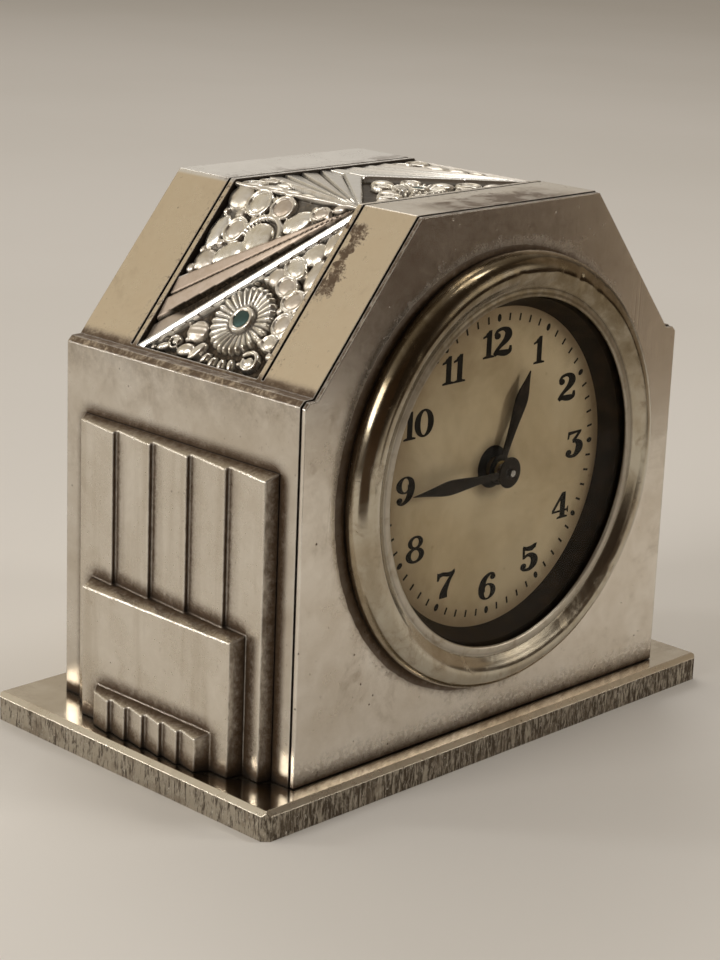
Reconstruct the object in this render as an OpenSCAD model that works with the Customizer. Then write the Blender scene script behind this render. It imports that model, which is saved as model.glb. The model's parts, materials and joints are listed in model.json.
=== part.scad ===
// Mantel clock with a stepped bronze case, a round bezel and a key-wound movement.
// +Z up, front towards -Y, +X to the right, origin under the middle of the bounding box.

/* [Case] */
// width of the lower body, side to side
body_w = 120; // [118:0.5:122]
// depth of the body, front plate included
body_d = 73.7; // [72:0.1:76]
// height of the shoulder where the slopes begin
shoulder_z = 88.8; // [87:0.1:90]
// width of the ledge between side and slope
ledge = 3.5; // [3:0.1:4]
// width of the flat roof
roof_w = 56.8; // [54:0.1:60]
// height of the flat roof, the height of the clock
roof_z = 122.6; // [120:0.1:125]
// thickness of the front plate
plate_t = 1; // [0.8:0.1:1.4]
// thickness of the shell wall
wall = 3; // [2.5:0.1:3.2]
// depth of the ornament channel
channel_d = 2.6; // [2:0.1:2.8]
// half width of the ornament channel
channel_h = 18.7; // [17:0.1:19]

/* [Base] */
// width of the base plate
base_w = 144.6; // [142:0.2:148]
// thickness of the base plate
base_t = 6.5; // [6:0.1:7]
// reach of the base in front of the body
base_front = 5.1; // [4.5:0.1:5.5]
// reach of the base behind the body
base_back = 9.7; // [9.5:0.1:10.5]

/* [Side relief] */
// how far each of the three relief layers stands out
layer_t = 3.2; // [3:0.1:3.3]
// number of flutes on each side panel
flutes = 5; // [4:1:6]
// number of small blocks in the bottom row
blocks = 6; // [5:1:7]

/* [Dial and bezel] */
// height of the dial centre
dial_z = 64.5; // [64:0.1:65.5]
// outer radius of the bezel foot
bezel_r = 47.8; // [47.5:0.1:48.2]
// inner radius of the bezel lip
lip_r = 38.6; // [38.5:0.1:38.8]
// depth of the dial face behind the front plate's face
dial_back = 1.85; // [1.7:0.05:2]
// how far the crown of the glass stands in front of the front plate
glass_top = 5.9; // [5.8:0.05:6]

/* [Hands] */
// clockwise angle of the hour hand
hour_a = 22; // [0:1:359]
// clockwise angle of the minute hand
minute_a = 269; // [0:1:359]
// length of the hour hand
hour_l = 22.6; // [18:0.1:24]
// length of the minute hand
minute_l = 29; // [26:0.1:34]

/* [Movement] */
// running clearance of pivots in their holes
run = 0.05; // [0.03:0.01:0.08]
// radius of the pivots
pivot_r = 0.5; // [0.45:0.05:0.6]
// radius of the winding arbor
wind_r = 2; // [1.8:0.1:2.1]
// height of the key's wings
key_h = 8.4; // [7:0.1:8.4]

/* [Hidden] */
$fn = 96;
reach = max(glass_top, base_front);
yf = reach - (reach + body_d + base_back) / 2;
yc = yf + body_d / 2;
slope_x = body_w / 2 - ledge;
slope_dx = slope_x - roof_w / 2;
slope_dz = roof_z - shoulder_z;
slope_a = atan2(slope_dz, slope_dx);
slope_l = norm([slope_dx, slope_dz]);
nx = sin(slope_a);
nz = cos(slope_a);
// plan positions in the movement, measured from the dial centre
p_bar = [0, -18.5];
p_int = [12.05, -5.62];
p_thi = 11.52 * [cos(140), sin(140)];
p_fou = p_thi + 9.52 * [cos(60), sin(60)];
p_esc = p_fou + [8.64, 0];
p_pal = p_esc + 7 * [cos(-14), sin(-14)];
p_bal = p_pal + 9.4 * [cos(-32), sin(-32)];
p_min = 7.2 * [cos(200), sin(200)];
p_clk = p_bar + [11.5, 0];
pillar_at = [for (a = [-35, 55, 125, 215]) 33.5 * [cos(a), sin(a)]];
sandwich_at = [for (a = [30, 150, 270]) 44.5 * [cos(a), sin(a)]];
// gear phases: the angle of one tooth, so that the pairs are in mesh at rest
ph_cw = 0;
ph_tp = meshed(ph_cw, 64, 140, 8);
ph_tw = 0;
ph_fp = meshed(ph_tw, 60, 60, 8);
ph_fw = 0;
ph_ep = meshed(ph_fw, 64, 0, 8);
ph_cp = 0;
ph_iw = meshed(ph_cp, 10, aim(p_int), 60);
ph_ip = 0;
ph_bw = meshed(ph_ip, 12, aim(p_bar - p_int), 72);
ph_ca = 0;
ph_mw = meshed(ph_ca, 12, 200, 36);
ph_mp = 0;
ph_hw = meshed(ph_mp, 10, 20, 40);

function aim(v) = atan2(v[1], v[0]);
// phase of the second gear that meshes with the first along direction th
function meshed(pa, na, th, nb) = th + 180 + ((th - pa) * na / 360 + 0.5) * 360 / nb;
function polar(r, a) = [r * cos(a), r * sin(a)];
// radius on step i of a spiral that grows from r0 to r1 in n steps
function grown(r0, r1, i, n) = r0 + (r1 - r0) * i / n;
function side_pt(r, h, a) = [r * cos(a) - h * sin(a), r * sin(a) + h * cos(a)];

// a flat shape drawn in X and height, standing at depth t behind the front face
module slab(t, h) {
  translate([0, yf + t + h, 0])
    rotate([90, 0, 0])
      linear_extrude(h)
        children();
}

// the same, placed in the movement at plan position p
module at(p, t, h) {
  slab(t, h)
    translate([p[0], dial_z + p[1]])
      children();
}

module rod(p, t, h, r) {
  at(p, t, h)
    circle(r);
}

// a turned part round the dial axis, drawn as radius and distance in front
module turned() {
  translate([0, yf, dial_z])
    rotate([90, 0, 0])
      rotate_extrude()
        children();
}

// a toothed disc: n teeth, module m, phase p, outline only
module toothed(n, m, p, add, ded, wr, wp, wt) {
  r = n * m / 2;
  polygon([for (i = [0 : n - 1]) let (a = p + i * 360 / n)
    each [
      side_pt(r - ded * m, -wr * m, a),
      side_pt(r, -wp * m, a),
      side_pt(r + add * m, -wt * m, a),
      side_pt(r + add * m, wt * m, a),
      side_pt(r, wp * m, a),
      side_pt(r - ded * m, wr * m, a)]]);
}

module wheel(n, m, p) {
  toothed(n, m, p, 0.85, 1.2, 0.62, 0.5, 0.22);
}

module pinion(n, m, p) {
  toothed(n, m, p, 0.75, 1.15, 0.42, 0.44, 0.24);
}

// a wheel crossed out with k spokes
module spoked(n, m, p, k, rim, hub, sp) {
  r = n * m / 2 - 1.2 * m;
  difference() {
    wheel(n, m, p);
    difference() {
      circle(r - rim);
      circle(hub);
      for (i = [0 : k - 1]) {
        rotate(i * 360 / k)
          translate([0, -sp / 2])
            square([r, sp]);
      }
    }
  }
}

// an arbor with a pivot at each end, running in the two movement plates
module arbor(p, r) {
  rod(p, 8.6, 27.3, r);
  rod(p, 7.1, 1.6, pivot_r);
  rod(p, 35.8, 1.6, pivot_r);
}

module body_outline(g) {
  h = body_w / 2 - g;
  polygon([
    [-h, base_t + g],
    [h, base_t + g],
    [h, shoulder_z - 1.2 - g],
    [h - 1.2, shoulder_z - g],
    [slope_x - g * 0.6, shoulder_z - g],
    [roof_w / 2 - g * 0.45, roof_z - g],
    [-roof_w / 2 + g * 0.45, roof_z - g],
    [-slope_x + g * 0.6, shoulder_z - g],
    [-h + 1.2, shoulder_z - g],
    [-h, shoulder_z - 1.2 - g]]);
}

// the room inside the shell, less a gap g all round
module inner_outline(g) {
  h = body_w / 2 - wall - g;
  k = channel_d + 2.4 + g;
  polygon([
    [-h, base_t + wall + g],
    [h, base_t + wall + g],
    [h, shoulder_z - 4],
    [slope_x - k * nx - 1, shoulder_z - k * nz + 1.2],
    [roof_w / 2 - k * 0.42, roof_z - k],
    [-roof_w / 2 + k * 0.42, roof_z - k],
    [-slope_x + k * nx + 1, shoulder_z - k * nz + 1.2],
    [-h, shoulder_z - 4]]);
}

// children are drawn with X up the left slope, Y to the back and Z outwards
module on_left_slope() {
  translate([-slope_x, yc, shoulder_z])
    rotate([0, -slope_a, 0])
      children();
}

module on_roof() {
  translate([0, yc, roof_z])
    children();
}

// point at u up the left slope and w out from it, in X and height
function slope_pt(u, w) = [-slope_x + u * nz - w * nx, shoulder_z + u * nx + w * nz];
function flip(p) = [-p[0], p[1]];

// outline of a channel of depth d that follows slope, roof and slope
module channel_profile(d, u0) {
  k = roof_w / 2 - d * tan(slope_a / 2);
  polygon([
    slope_pt(u0, -d),
    slope_pt(u0, 6),
    [-50, 140],
    [50, 140],
    flip(slope_pt(u0, 6)),
    flip(slope_pt(u0, -d)),
    [k, roof_z - d],
    [-k, roof_z - d]]);
}

// the ornament channel and the two thin grooves that leave a rail beside it
module channel_cut() {
  m = body_d / 2;
  slab(m - channel_h, 2 * channel_h)
    channel_profile(channel_d, 0.9);
  for (s = [-1, 1]) {
    slab(m + s * (channel_h + 1.6) - 0.3, 0.6)
      channel_profile(0.9, 0.9);
  }
}

// the narrow groove round the shell behind the front plate
module seam_cut() {
  difference() {
    slab(plate_t - 0.5, 0.85)
      body_outline(-2);
    slab(plate_t - 1, 2)
      body_outline(0.55);
  }
}

module case_shell() {
  color([0.62, 0.57, 0.49])
    difference() {
      slab(plate_t, body_d - plate_t)
        body_outline(0);
      slab(plate_t - 1, body_d + 2)
        inner_outline(0);
      seam_cut();
      channel_cut();
      for (x = [-42, 42], y = [-22, 22]) {
        translate([x, yc + y, base_t - 1])
          cylinder(h = wall + 2, r = 1.55);
      }
    }
  color([0.62, 0.57, 0.49])
    lugs();
}

// blocks in the rear corners that the back plate is screwed to
module lugs() {
  for (s = [-1, 1], z = [13.5, 80]) {
    difference() {
      slab(60, body_d - 62)
        translate([s * (body_w / 2 - wall - 3.9) - 4, z - 4])
          square([8, 8]);
      slab(60.5, body_d)
        translate([s * (body_w / 2 - wall - 4), z])
          circle(1.05);
    }
  }
}

module front_plate() {
  color([0.55, 0.5, 0.43])
    difference() {
      slab(0, plate_t)
        body_outline(0.25);
      slab(-1, plate_t + 2)
        translate([0, dial_z])
          circle(40);
      for (p = sandwich_at) {
        rod(p, -1, plate_t + 2, 0.95);
      }
    }
}

// a prism with plan outline p, topped by the side profile q, on the left face
module stepped(p, q, hy) {
  translate([-body_w / 2, yc, base_t])
    intersection() {
      linear_extrude(80)
        polygon(p);
      translate([0, hy, 0])
        rotate([90, 0, 0])
          linear_extrude(2 * hy)
            polygon(q);
    }
}

// one stepped side: fluted panel, apron and a row of blocks, for the left face
module relief_solid() {
  a = layer_t;
  b = 2 * layer_t;
  c = 3 * layer_t;
  pitch = 59 / flutes;
  bp = 33.8 / blocks;
  for (i = [0 : flutes - 1]) {
    y = -29.5 + i * pitch;
    stepped(
      [[1, y - 1.1], [0, y - 1.1], [-a, y], [1 - a, y + pitch], [0, y + pitch + 1], [1, y + pitch + 1]],
      [[0, 0], [-a, 0], [-a, 65], [0, 66.5]], 40);
  }
  stepped(
    [[0, -24.7], [-a, -24.7], [-b, -23.6], [-b, 23.6], [-a, 24.7], [0, 24.7]],
    [[0, 0], [-b, 0], [-b, 29.8], [-a, 30.9], [0, 30.9]], 40);
  for (i = [0 : blocks - 1]) {
    y = -16.9 + i * bp;
    stepped(
      [[0, y - 1.6], [-b, y - 1.6], [-c, y], [1 - c, y + bp], [-b, y + bp + 1.6], [0, y + bp + 1.6]],
      [[0, 0], [-c, 0], [-c, 7.5], [-b, 8.6], [0, 8.6]], 40);
  }
}

module side_relief_left() {
  color([0.66, 0.61, 0.53])
    relief_solid();
}

module side_relief_right() {
  color([0.66, 0.61, 0.53])
    mirror([1, 0, 0])
      relief_solid();
}

// one ray of a fan: from the edge c-d to the stretch between a and b
module ray(c, d, a, b, z, h) {
  translate([0, 0, z])
    linear_extrude(h)
      polygon([c, d, b, a]);
}

// a low two-stepped petal
module petal(x, y, r) {
  f = -channel_d + 0.8;
  translate([x, y, f])
    cylinder(h = 0.9, r = r);
  translate([x, y, f + 0.5])
    cylinder(h = 0.9, r = r * 0.7);
}

module rosette(x, y, r) {
  f = -channel_d + 0.8;
  translate([x, y, f])
    cylinder(h = 0.9, r = r);
  translate([x, y, f + 0.8])
    cylinder(h = 0.4, r = r * 0.78);
  translate([x, y, f + 0.8])
    cylinder(h = 0.85, r = r * 0.34);
}

// cast strip for the left slope, X up the slope
module slope_strip() {
  f = -channel_d + 0.7;
  ends = [1.9, 5.6, 9.4, 13.2, 17, 20.8];
  translate([1.1, -channel_h + 0.2, -channel_d])
    cube([slope_l - 2.3, 2 * channel_h - 0.4, 0.9]);
  for (i = [0 : 4]) {
    c = slope_l - 3.6 + i * 0.4;
    ray([c, -18], [c + 0.4, -18], [ends[i], 18.2], [ends[i + 1], 18.2], f, 1.5 - i * 0.22);
  }
  rosette(12.6, -5, 8.4);
  for (p = [[4.4, -14.8, 2.6], [20.4, -14.6, 2.6], [26.6, -14.4, 2.4], [30.2, 10.6, 2.5],
    [34.8, 3.4, 2.5], [31.6, 15.6, 2.3], [39.2, 12.4, 2.4], [38.8, 5.8, 1.8]]) {
    petal(p[0], p[1], p[2]);
  }
}

// cast strip for the roof, in two mirrored halves with a flower between
module roof_strip() {
  f = -channel_d + 0.7;
  ends = [26.8, 21.6, 16.4, 11.2, 6, 0.6];
  translate([-roof_w / 2 + 1.4, -channel_h + 0.2, -channel_d])
    cube([roof_w - 2.8, 2 * channel_h - 0.4, 0.9]);
  for (s = [0, 1]) {
    mirror([s, 0, 0]) {
      for (i = [0 : 4]) {
        c = -26.6 + i * 0.4;
        ray([c, -18], [c + 0.4, -18], [-ends[i], 18.2], [-ends[i + 1], 18.2], f, 0.7 + i * 0.2);
      }
      petal(-9, -14, 2.6);
      petal(-15.2, -15.2, 2);
    }
  }
  rosette(0, -8.6, 6);
}

module ornament_left() {
  color([0.72, 0.7, 0.66])
    on_left_slope()
      slope_strip();
}

module ornament_right() {
  color([0.72, 0.7, 0.66])
    mirror([1, 0, 0])
      on_left_slope()
        slope_strip();
}

module ornament_roof() {
  color([0.72, 0.7, 0.66])
    on_roof()
      roof_strip();
}

module base_plate() {
  d = base_front + body_d + base_back;
  y0 = yf - base_front;
  c = 1.1;
  color([0.6, 0.56, 0.49])
    difference() {
      translate([-base_w / 2, y0, 0])
        cube([base_w, d, base_t]);
      for (s = [0, 1]) {
        mirror([s, 0, 0]) {
          translate([-base_w / 2, y0 - 1, base_t - c])
            rotate([0, -45, 0])
              cube([4 * c, d + 2, 3 * c]);
          for (y = [y0, y0 + d]) {
            translate([-base_w / 2, y, -1])
              rotate([0, 0, 45])
                cube([2, 2, 3 * base_t], center = true);
          }
        }
      }
      translate([-base_w / 2 - 1, y0, base_t - c])
        rotate([45, 0, 0])
          cube([base_w + 2, 3 * c, 4 * c]);
      translate([-base_w / 2 - 1, y0 + d, base_t - c])
        rotate([45, 0, 0])
          cube([base_w + 2, 4 * c, 3 * c]);
      for (x = [-42, 42], y = [-22, 22]) {
        translate([x, yc + y, -1])
          cylinder(h = base_t + 2, r = 1.7);
        translate([x, yc + y, -1])
          cylinder(h = 3.4, r = 3.4);
      }
    }
}

module base_screws() {
  color([0.5, 0.48, 0.44])
    for (x = [-42, 42], y = [-22, 22]) {
      translate([x, yc + y, 0.5]) {
        difference() {
          cylinder(h = 1.9, r = 3);
          translate([-4, -0.4, -1])
            cube([8, 0.8, 1.8]);
        }
        cylinder(h = base_t + 2.6, r = 1.5);
      }
    }
}

module back_plate() {
  color([0.74, 0.6, 0.34])
    difference() {
      slab(body_d - 2, 1.6)
        inner_outline(0.25);
      for (s = [-1, 1], z = [13.5, 80]) {
        slab(body_d - 3, 4)
          translate([s * (body_w / 2 - wall - 4), z])
            circle(1.3);
      }
      rod([0, 0], body_d - 3, 4, 2.2);
      rod(p_bar, body_d - 3, 4, 2.6);
    }
}

module back_plate_screws() {
  color([0.6, 0.55, 0.45])
    for (s = [-1, 1], z = [13.5, 80]) {
      difference() {
        slab(body_d - 0.4, 1.2)
          translate([s * (body_w / 2 - wall - 4), z])
            circle(2.2);
        slab(body_d + 0.3, 1)
          translate([s * (body_w / 2 - wall - 4) - 3, z - 0.3])
            square([6, 0.6]);
      }
      slab(body_d - 7, 6.7)
        translate([s * (body_w / 2 - wall - 4), z])
          circle(1);
    }
}

module bezel() {
  color([0.75, 0.71, 0.58])
    difference() {
      turned()
        difference() {
          union() {
            translate([41, 0])
              square([bezel_r - 41, 2]);
            translate([44.55, 2])
              circle(3.75);
            translate([lip_r, 3.5])
              square([4, 0.8]);
          }
          translate([38, -6])
            square([14, 6]);
          translate([38, -1])
            square([3, 4.4]);
        }
      for (p = sandwich_at) {
        rod(p, -1.6, 2, 0.95);
      }
    }
}

module crystal() {
  sag = glass_top - 3.3;
  rs = (lip_r * lip_r + sag * sag) / (2 * sag);
  color([0.85, 0.9, 0.9, 0.35])
    turned() {
      intersection() {
        translate([0, glass_top - rs])
          difference() {
            circle(rs, $fn = 360);
            circle(rs - 1.2, $fn = 360);
          }
        translate([0, 2])
          square([lip_r - 0.2, 7]);
      }
      translate([lip_r - 1.4, 2.05])
        square([3, 1.25]);
    }
}

module dial_surround() {
  color([0.3, 0.26, 0.2])
    turned()
      polygon([
        [35.7, -dial_back],
        [39.6, -dial_back],
        [39.6, 0.1],
        [40.7, 0.1],
        [40.7, 2],
        [38.2, 2]]);
}

module dial() {
  color([0.83, 0.76, 0.62])
    at([0, 0], dial_back, 0.5)
      difference() {
        circle(39.6);
        circle(2.5);
      }
}

module dial_plate() {
  color([0.75, 0.6, 0.32])
    union() {
      at([0, 0], dial_back + 0.5, 1)
        difference() {
          circle(39.6);
          circle(2.5);
        }
      for (s = [-1, 1]) {
        rod([s * 30, 0], dial_back + 1.4, 4.9, 0.8);
      }
    }
}

module movement_cover() {
  color([0.76, 0.62, 0.36])
    difference() {
      union() {
        at([0, 0], plate_t, 1)
          difference() {
            circle(46);
            circle(39.8);
          }
        at([0, 0], plate_t, 46 - plate_t)
          difference() {
            circle(40.6);
            circle(39.8);
          }
        at([0, 0], 45.2, 0.8)
          circle(40.2);
      }
      for (p = sandwich_at) {
        rod(p, 1, 4, 1);
      }
      for (p = pillar_at) {
        rod(p, 44, 4, 1.1);
      }
      rod([0, 0], 44, 4, 1.6);
      rod(p_bar, 44, 4, 2.4);
    }
}

module bezel_screws() {
  color([0.7, 0.66, 0.56])
    for (p = sandwich_at) {
      rod(p, plate_t + 1, 1, 1.6);
      rod(p, -1.3, plate_t + 2.4, 0.9);
    }
}

module cover_screws() {
  color([0.7, 0.66, 0.56])
    for (p = pillar_at) {
      difference() {
        rod(p, 46, 1.1, 1.9);
        at(p, 46.6, 1)
          square([5, 0.5], center = true);
      }
      rod(p, 41, 5.2, 1);
    }
}

module front_movement_plate() {
  color([0.78, 0.64, 0.36])
    difference() {
      union() {
        rod([0, 0], 7, 1.5, 39.6);
        rod(p_min, 4.2, 3, 0.8);
      }
      rod([0, 0], 6, 4, 1.2 + run);
      rod(p_bar, 6, 4, 1.5 + run);
      for (p = [p_int, p_thi, p_fou, p_esc, p_pal, p_bal]) {
        rod(p, 6, 4, pivot_r + run);
      }
      for (s = [-1, 1]) {
        rod([s * 30, 0], 6, 4, 0.85);
      }
      for (p = pillar_at) {
        rod(p, 6, 4, 1);
      }
    }
}

module rear_movement_plate() {
  color([0.78, 0.64, 0.36])
    difference() {
      union() {
        rod([0, 0], 36, 1.5, 38);
        rod(p_clk, 37.4, 2.6, 0.9);
        rod(p_bal, 34.4, 1.7, 1.6);
        at(p_bal + [0, 5], 33, 3.1)
          square([1, 1], center = true);
      }
      rod([0, 0], 35, 4, 1.2 + run);
      rod(p_bar, 35, 4, wind_r + run);
      for (p = [p_int, p_thi, p_fou, p_esc, p_pal]) {
        rod(p, 35, 4, pivot_r + run);
      }
      rod(p_bal, 33, 6, pivot_r + run);
      for (p = pillar_at) {
        rod(p, 35, 4, 1.45);
      }
    }
}

module pillars() {
  color([0.8, 0.66, 0.38])
    for (p = pillar_at) {
      difference() {
        rod(p, 8.5, 27.5, 2.3);
        rod(p, 7.5, 5, 0.95);
      }
      rod(p, 35.9, 4.6, 1.4);
    }
}

module pillar_screws() {
  color([0.62, 0.6, 0.56])
    for (p = pillar_at) {
      difference() {
        rod(p, 5.9, 1.1, 1.8);
        at(p, 5.4, 0.9)
          square([5, 0.5], center = true);
      }
      rod(p, 6.9, 4.6, 0.9);
    }
}

module pillar_nuts() {
  color([0.8, 0.66, 0.38])
    for (p = pillar_at) {
      difference() {
        at(p, 37.5, 7.7)
          circle(2.5, $fn = 6);
        rod(p, 37, 4, 1.45);
        rod(p, 40.9, 5, 1.05);
      }
    }
}

module mainspring_barrel() {
  color([0.79, 0.65, 0.36])
    difference() {
      union() {
        at(p_bar, 30.9, 1.6)
          wheel(72, 0.42, ph_bw);
        rod(p_bar, 11, 20.2, 13.9);
      }
      rod(p_bar, 12, 19.1, 13);
      rod(p_bar, 10, 4, 2.3 + run);
      rod(p_bar, 31.1, 3, 12.2);
    }
}

module barrel_cap() {
  color([0.82, 0.68, 0.4])
    difference() {
      rod(p_bar, 31.1, 1.3, 12.15);
      rod(p_bar, 30, 4, 2.3 + run);
    }
}

// the coiled mainspring, drawn as a set of separate coils in one flat strip
module mainspring() {
  color([0.35, 0.37, 0.42])
    at(p_bar, 13.2, 16.6)
      spiral(4, 12.4, 7, 0.4);
}

// a flat spiral strip from radius r0 to r1 with n turns and thickness w
module spiral(r0, r1, n, w) {
  k = n * 24;
  polygon(concat(
    [for (i = [0 : k]) polar(grown(r0, r1, i, k), i * 15)],
    [for (i = [k : -1 : 0]) polar(grown(r0, r1, i, k) + w, i * 15)]));
}

module barrel_arbor() {
  color([0.6, 0.61, 0.63])
    union() {
      rod(p_bar, 7.1, 1.6, 1.5);
      rod(p_bar, 8.6, 4.2, 2.3);
      rod(p_bar, 12.7, 17.6, 3.4);
      rod(p_bar, 30.2, 5.6, 2.3);
      rod(p_bar, 35.7, 36, wind_r);
      at(p_bar, 71.6, 5.4)
        square([2.7, 2.7], center = true);
    }
}

module ratchet_wheel() {
  n = 24;
  color([0.66, 0.66, 0.66])
    at(p_bar, 38.2, 1.6)
      difference() {
        polygon([for (i = [0 : n - 1])
          each [polar(7, i * 15), polar(6.2, i * 15 + 1)]]);
        circle(wind_r + 0.02);
      }
}

module click() {
  color([0.62, 0.62, 0.63])
    difference() {
      union() {
        rod(p_clk, 38.2, 1.6, 1.9);
        at(p_clk, 38.2, 1.6)
          polygon([[0.6, 1.4], [-1.4, 1], [-5.5, 4.1], [-5, 4.9], [-3.6, 4.6]]);
      }
      rod(p_clk, 37, 4, 0.9 + run);
    }
}

module click_spring() {
  color([0.5, 0.5, 0.53])
    at(p_clk, 37.5, 2.2)
      polygon([[4.6, -2], [7, -2], [7, 0.6], [5.6, 0.8], [4.6, 6.4],
        [0.4, 7.6], [0.3, 7.2], [4.2, 6], [5, 0.8], [4.6, 0.6]]);
}

module winding_key() {
  t0 = body_d + 0.9;
  color([0.78, 0.65, 0.38])
    difference() {
      union() {
        rod(p_bar, t0, 5, 3.1);
        translate([0, yf + t0 + 0.3, dial_z + p_bar[1] - 0.8])
          linear_extrude(1.6)
            key_wings();
      }
      at(p_bar, t0 - 1, 3.6)
        square([2.8, 2.8], center = true);
    }
}

// two round lobes with finger holes, joined across the hub
module key_wings() {
  r = key_h / 2;
  difference() {
    union() {
      for (s = [-1, 1]) {
        translate([s * 6.6, r])
          circle(r);
      }
      translate([-6, r - 2.2])
        square([12, 4.4]);
    }
    for (s = [-1, 1]) {
      translate([s * 6.9, r])
        circle(1.7);
    }
  }
}

module intermediate_wheel() {
  color([0.79, 0.65, 0.37])
    union() {
      arbor(p_int, 1);
      at(p_int, 9.2, 1.1)
        spoked(60, 0.38, ph_iw, 5, 1, 2.6, 1.3);
      at(p_int, 30.2, 3.2)
        pinion(12, 0.42, ph_ip);
    }
}

module centre_arbor() {
  color([0.62, 0.62, 0.64])
    union() {
      rod([0, 0], -3.9, 12, 0.75);
      rod([0, 0], 7.1, 1.5, 1.2);
      rod([0, 0], 8.6, 27.3, 1.3);
      at([0, 0], 8.8, 1.9)
        pinion(10, 0.38, ph_cp);
      rod([0, 0], 35.8, 1.9, 1.2);
      rod([0, 0], 37.5, 40.5, 1.1);
    }
}

module centre_wheel() {
  color([0.8, 0.66, 0.38])
    at([0, 0], 34.1, 1.1)
      difference() {
        spoked(64, 0.32, ph_cw, 5, 1, 2.8, 1.2);
        circle(1.32);
      }
}

module cannon_pinion() {
  color([0.66, 0.66, 0.68])
    difference() {
      union() {
        at([0, 0], 5.5, 1.3)
          pinion(12, 0.3, ph_ca);
        rod([0, 0], -2.6, 9.3, 1.42);
      }
      rod([0, 0], -4, 12, 0.78);
    }
}

module minute_wheel() {
  color([0.8, 0.66, 0.38])
    difference() {
      union() {
        at(p_min, 5.6, 0.8)
          wheel(36, 0.3, ph_mw);
        at(p_min, 4.2, 1.6)
          pinion(10, 0.288, ph_mp);
      }
      rod(p_min, 3, 6, 0.8 + run);
    }
}

module hour_wheel() {
  color([0.8, 0.66, 0.38])
    difference() {
      union() {
        at([0, 0], 4.3, 0.9)
          wheel(40, 0.288, ph_hw);
        rod([0, 0], -0.6, 5.9, 2.1);
      }
      rod([0, 0], -1, 8, 1.42 + run);
    }
}

module third_wheel() {
  color([0.79, 0.65, 0.37])
    union() {
      arbor(p_thi, 0.8);
      at(p_thi, 33.8, 1.7)
        pinion(8, 0.32, ph_tp);
      at(p_thi, 28, 0.9)
        spoked(60, 0.28, ph_tw, 4, 0.8, 2, 1);
    }
}

module fourth_wheel() {
  color([0.79, 0.65, 0.37])
    union() {
      arbor(p_fou, 0.7);
      at(p_fou, 27.7, 1.5)
        pinion(8, 0.28, ph_fp);
      at(p_fou, 22, 0.8)
        spoked(64, 0.24, ph_fw, 4, 0.8, 1.8, 0.9);
    }
}

module escape_wheel() {
  color([0.78, 0.68, 0.45])
    union() {
      arbor(p_esc, 0.6);
      at(p_esc, 21.7, 1.4)
        pinion(8, 0.24, ph_ep);
      at(p_esc, 17, 0.8)
        difference() {
          polygon([for (i = [0 : 14])
            each [polar(4.9, i * 24), polar(3.7, i * 24 + 3), polar(3.7, i * 24 + 14)]]);
          difference() {
            circle(3);
            circle(1.3);
            for (i = [0 : 3]) {
              rotate(i * 90)
                translate([0, -0.35])
                  square([4, 0.7]);
            }
          }
        }
    }
}

// anchor with two pallets near the escape wheel and a fork towards the balance
module pallet_lever() {
  color([0.64, 0.64, 0.66])
    union() {
      arbor(p_pal, 0.5);
      at(p_pal, 17, 0.8)
        rotate(166)
          difference() {
            union() {
              circle(1.2);
              polygon([[0, -1], [0, 1], [3.1, 4.8], [4.6, 4.6], [4.2, 3.9], [3.2, 3.6]]);
              polygon([[0, 1], [0, -1], [3.1, -4.8], [4.6, -4.6], [4.2, -3.9], [3.2, -3.6]]);
            }
            translate([7, 0])
              circle(5.4);
          }
      at(p_pal, 17, 0.8)
        rotate(-32)
          polygon([[0, -0.7], [7, -0.35], [7.9, -0.9], [8.1, -0.4], [7.5, 0],
            [8.1, 0.4], [7.9, 0.9], [7, 0.35], [0, 0.7]]);
    }
}

module balance_wheel() {
  color([0.8, 0.68, 0.4])
    union() {
      rod(p_bal, 8.6, 25.7, 0.55);
      rod(p_bal, 7.1, 1.6, pivot_r);
      rod(p_bal, 34.2, 3.2, pivot_r);
      at(p_bal, 12.6, 1.2)
        difference() {
          circle(7.8);
          difference() {
            circle(6.6);
            circle(1.5);
            translate([-7, -0.5])
              square([14, 1]);
          }
        }
      rod(p_bal, 19.4, 1, 1.1);
    }
}

module hairspring() {
  color([0.3, 0.34, 0.45])
    at(p_bal, 32.2, 0.5)
      spiral(1, 4, 6, 0.12);
}

module regulator_arm() {
  color([0.66, 0.66, 0.67])
    at(p_bal, 34.6, 0.7)
      difference() {
        union() {
          circle(2.6);
          translate([0, -0.5])
            square([9, 1]);
        }
        circle(1.6 + run);
      }
}

module setting_knob() {
  color([0.77, 0.64, 0.37])
    difference() {
      at([0, 0], body_d + 0.9, 5.6)
        difference() {
          circle(4.8);
          for (i = [0 : 23]) {
            rotate(i * 15)
              translate([4.8, 0])
                circle(0.28, $fn = 4);
          }
        }
      rod([0, 0], body_d, 4.6, 1.12);
    }
}

// a lance shape: neck from radius s, widest point part way up, sharp tip
module lance(l, w, s) {
  polygon([
    [-0.55, s],
    [-w * 0.5, l * 0.5],
    [-w * 0.46, l * 0.6],
    [0, l],
    [w * 0.46, l * 0.6],
    [w * 0.5, l * 0.5],
    [0.55, s]]);
}

module hour_hand() {
  color([0.1, 0.09, 0.08])
    difference() {
      union() {
        at([0, 0], -0.3, 0.5)
          rotate(-hour_a)
            lance(hour_l, 3.8, 3);
        rod([0, 0], -0.3, 0.5, 3.4);
      }
      rod([0, 0], -1.5, 4, 2.11);
    }
}

// the minute hand leans back from its high hub towards the minute track
module minute_hand() {
  color([0.1, 0.09, 0.08])
    difference() {
      union() {
        translate([0, yf - 2.7, dial_z])
          rotate([90, 0, 0])
            rotate(-minute_a)
              rotate([-2.8, 0, 0])
                linear_extrude(0.4)
                  lance(minute_l, 3.2, 1);
        rod([0, 0], -3.2, 0.6, 3.5);
        rod([0, 0], -3.1, 1.6, 2);
      }
      rod([0, 0], -2.7, 4, 1.43);
      rod([0, 0], -5, 6, 0.76);
    }
}

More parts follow.
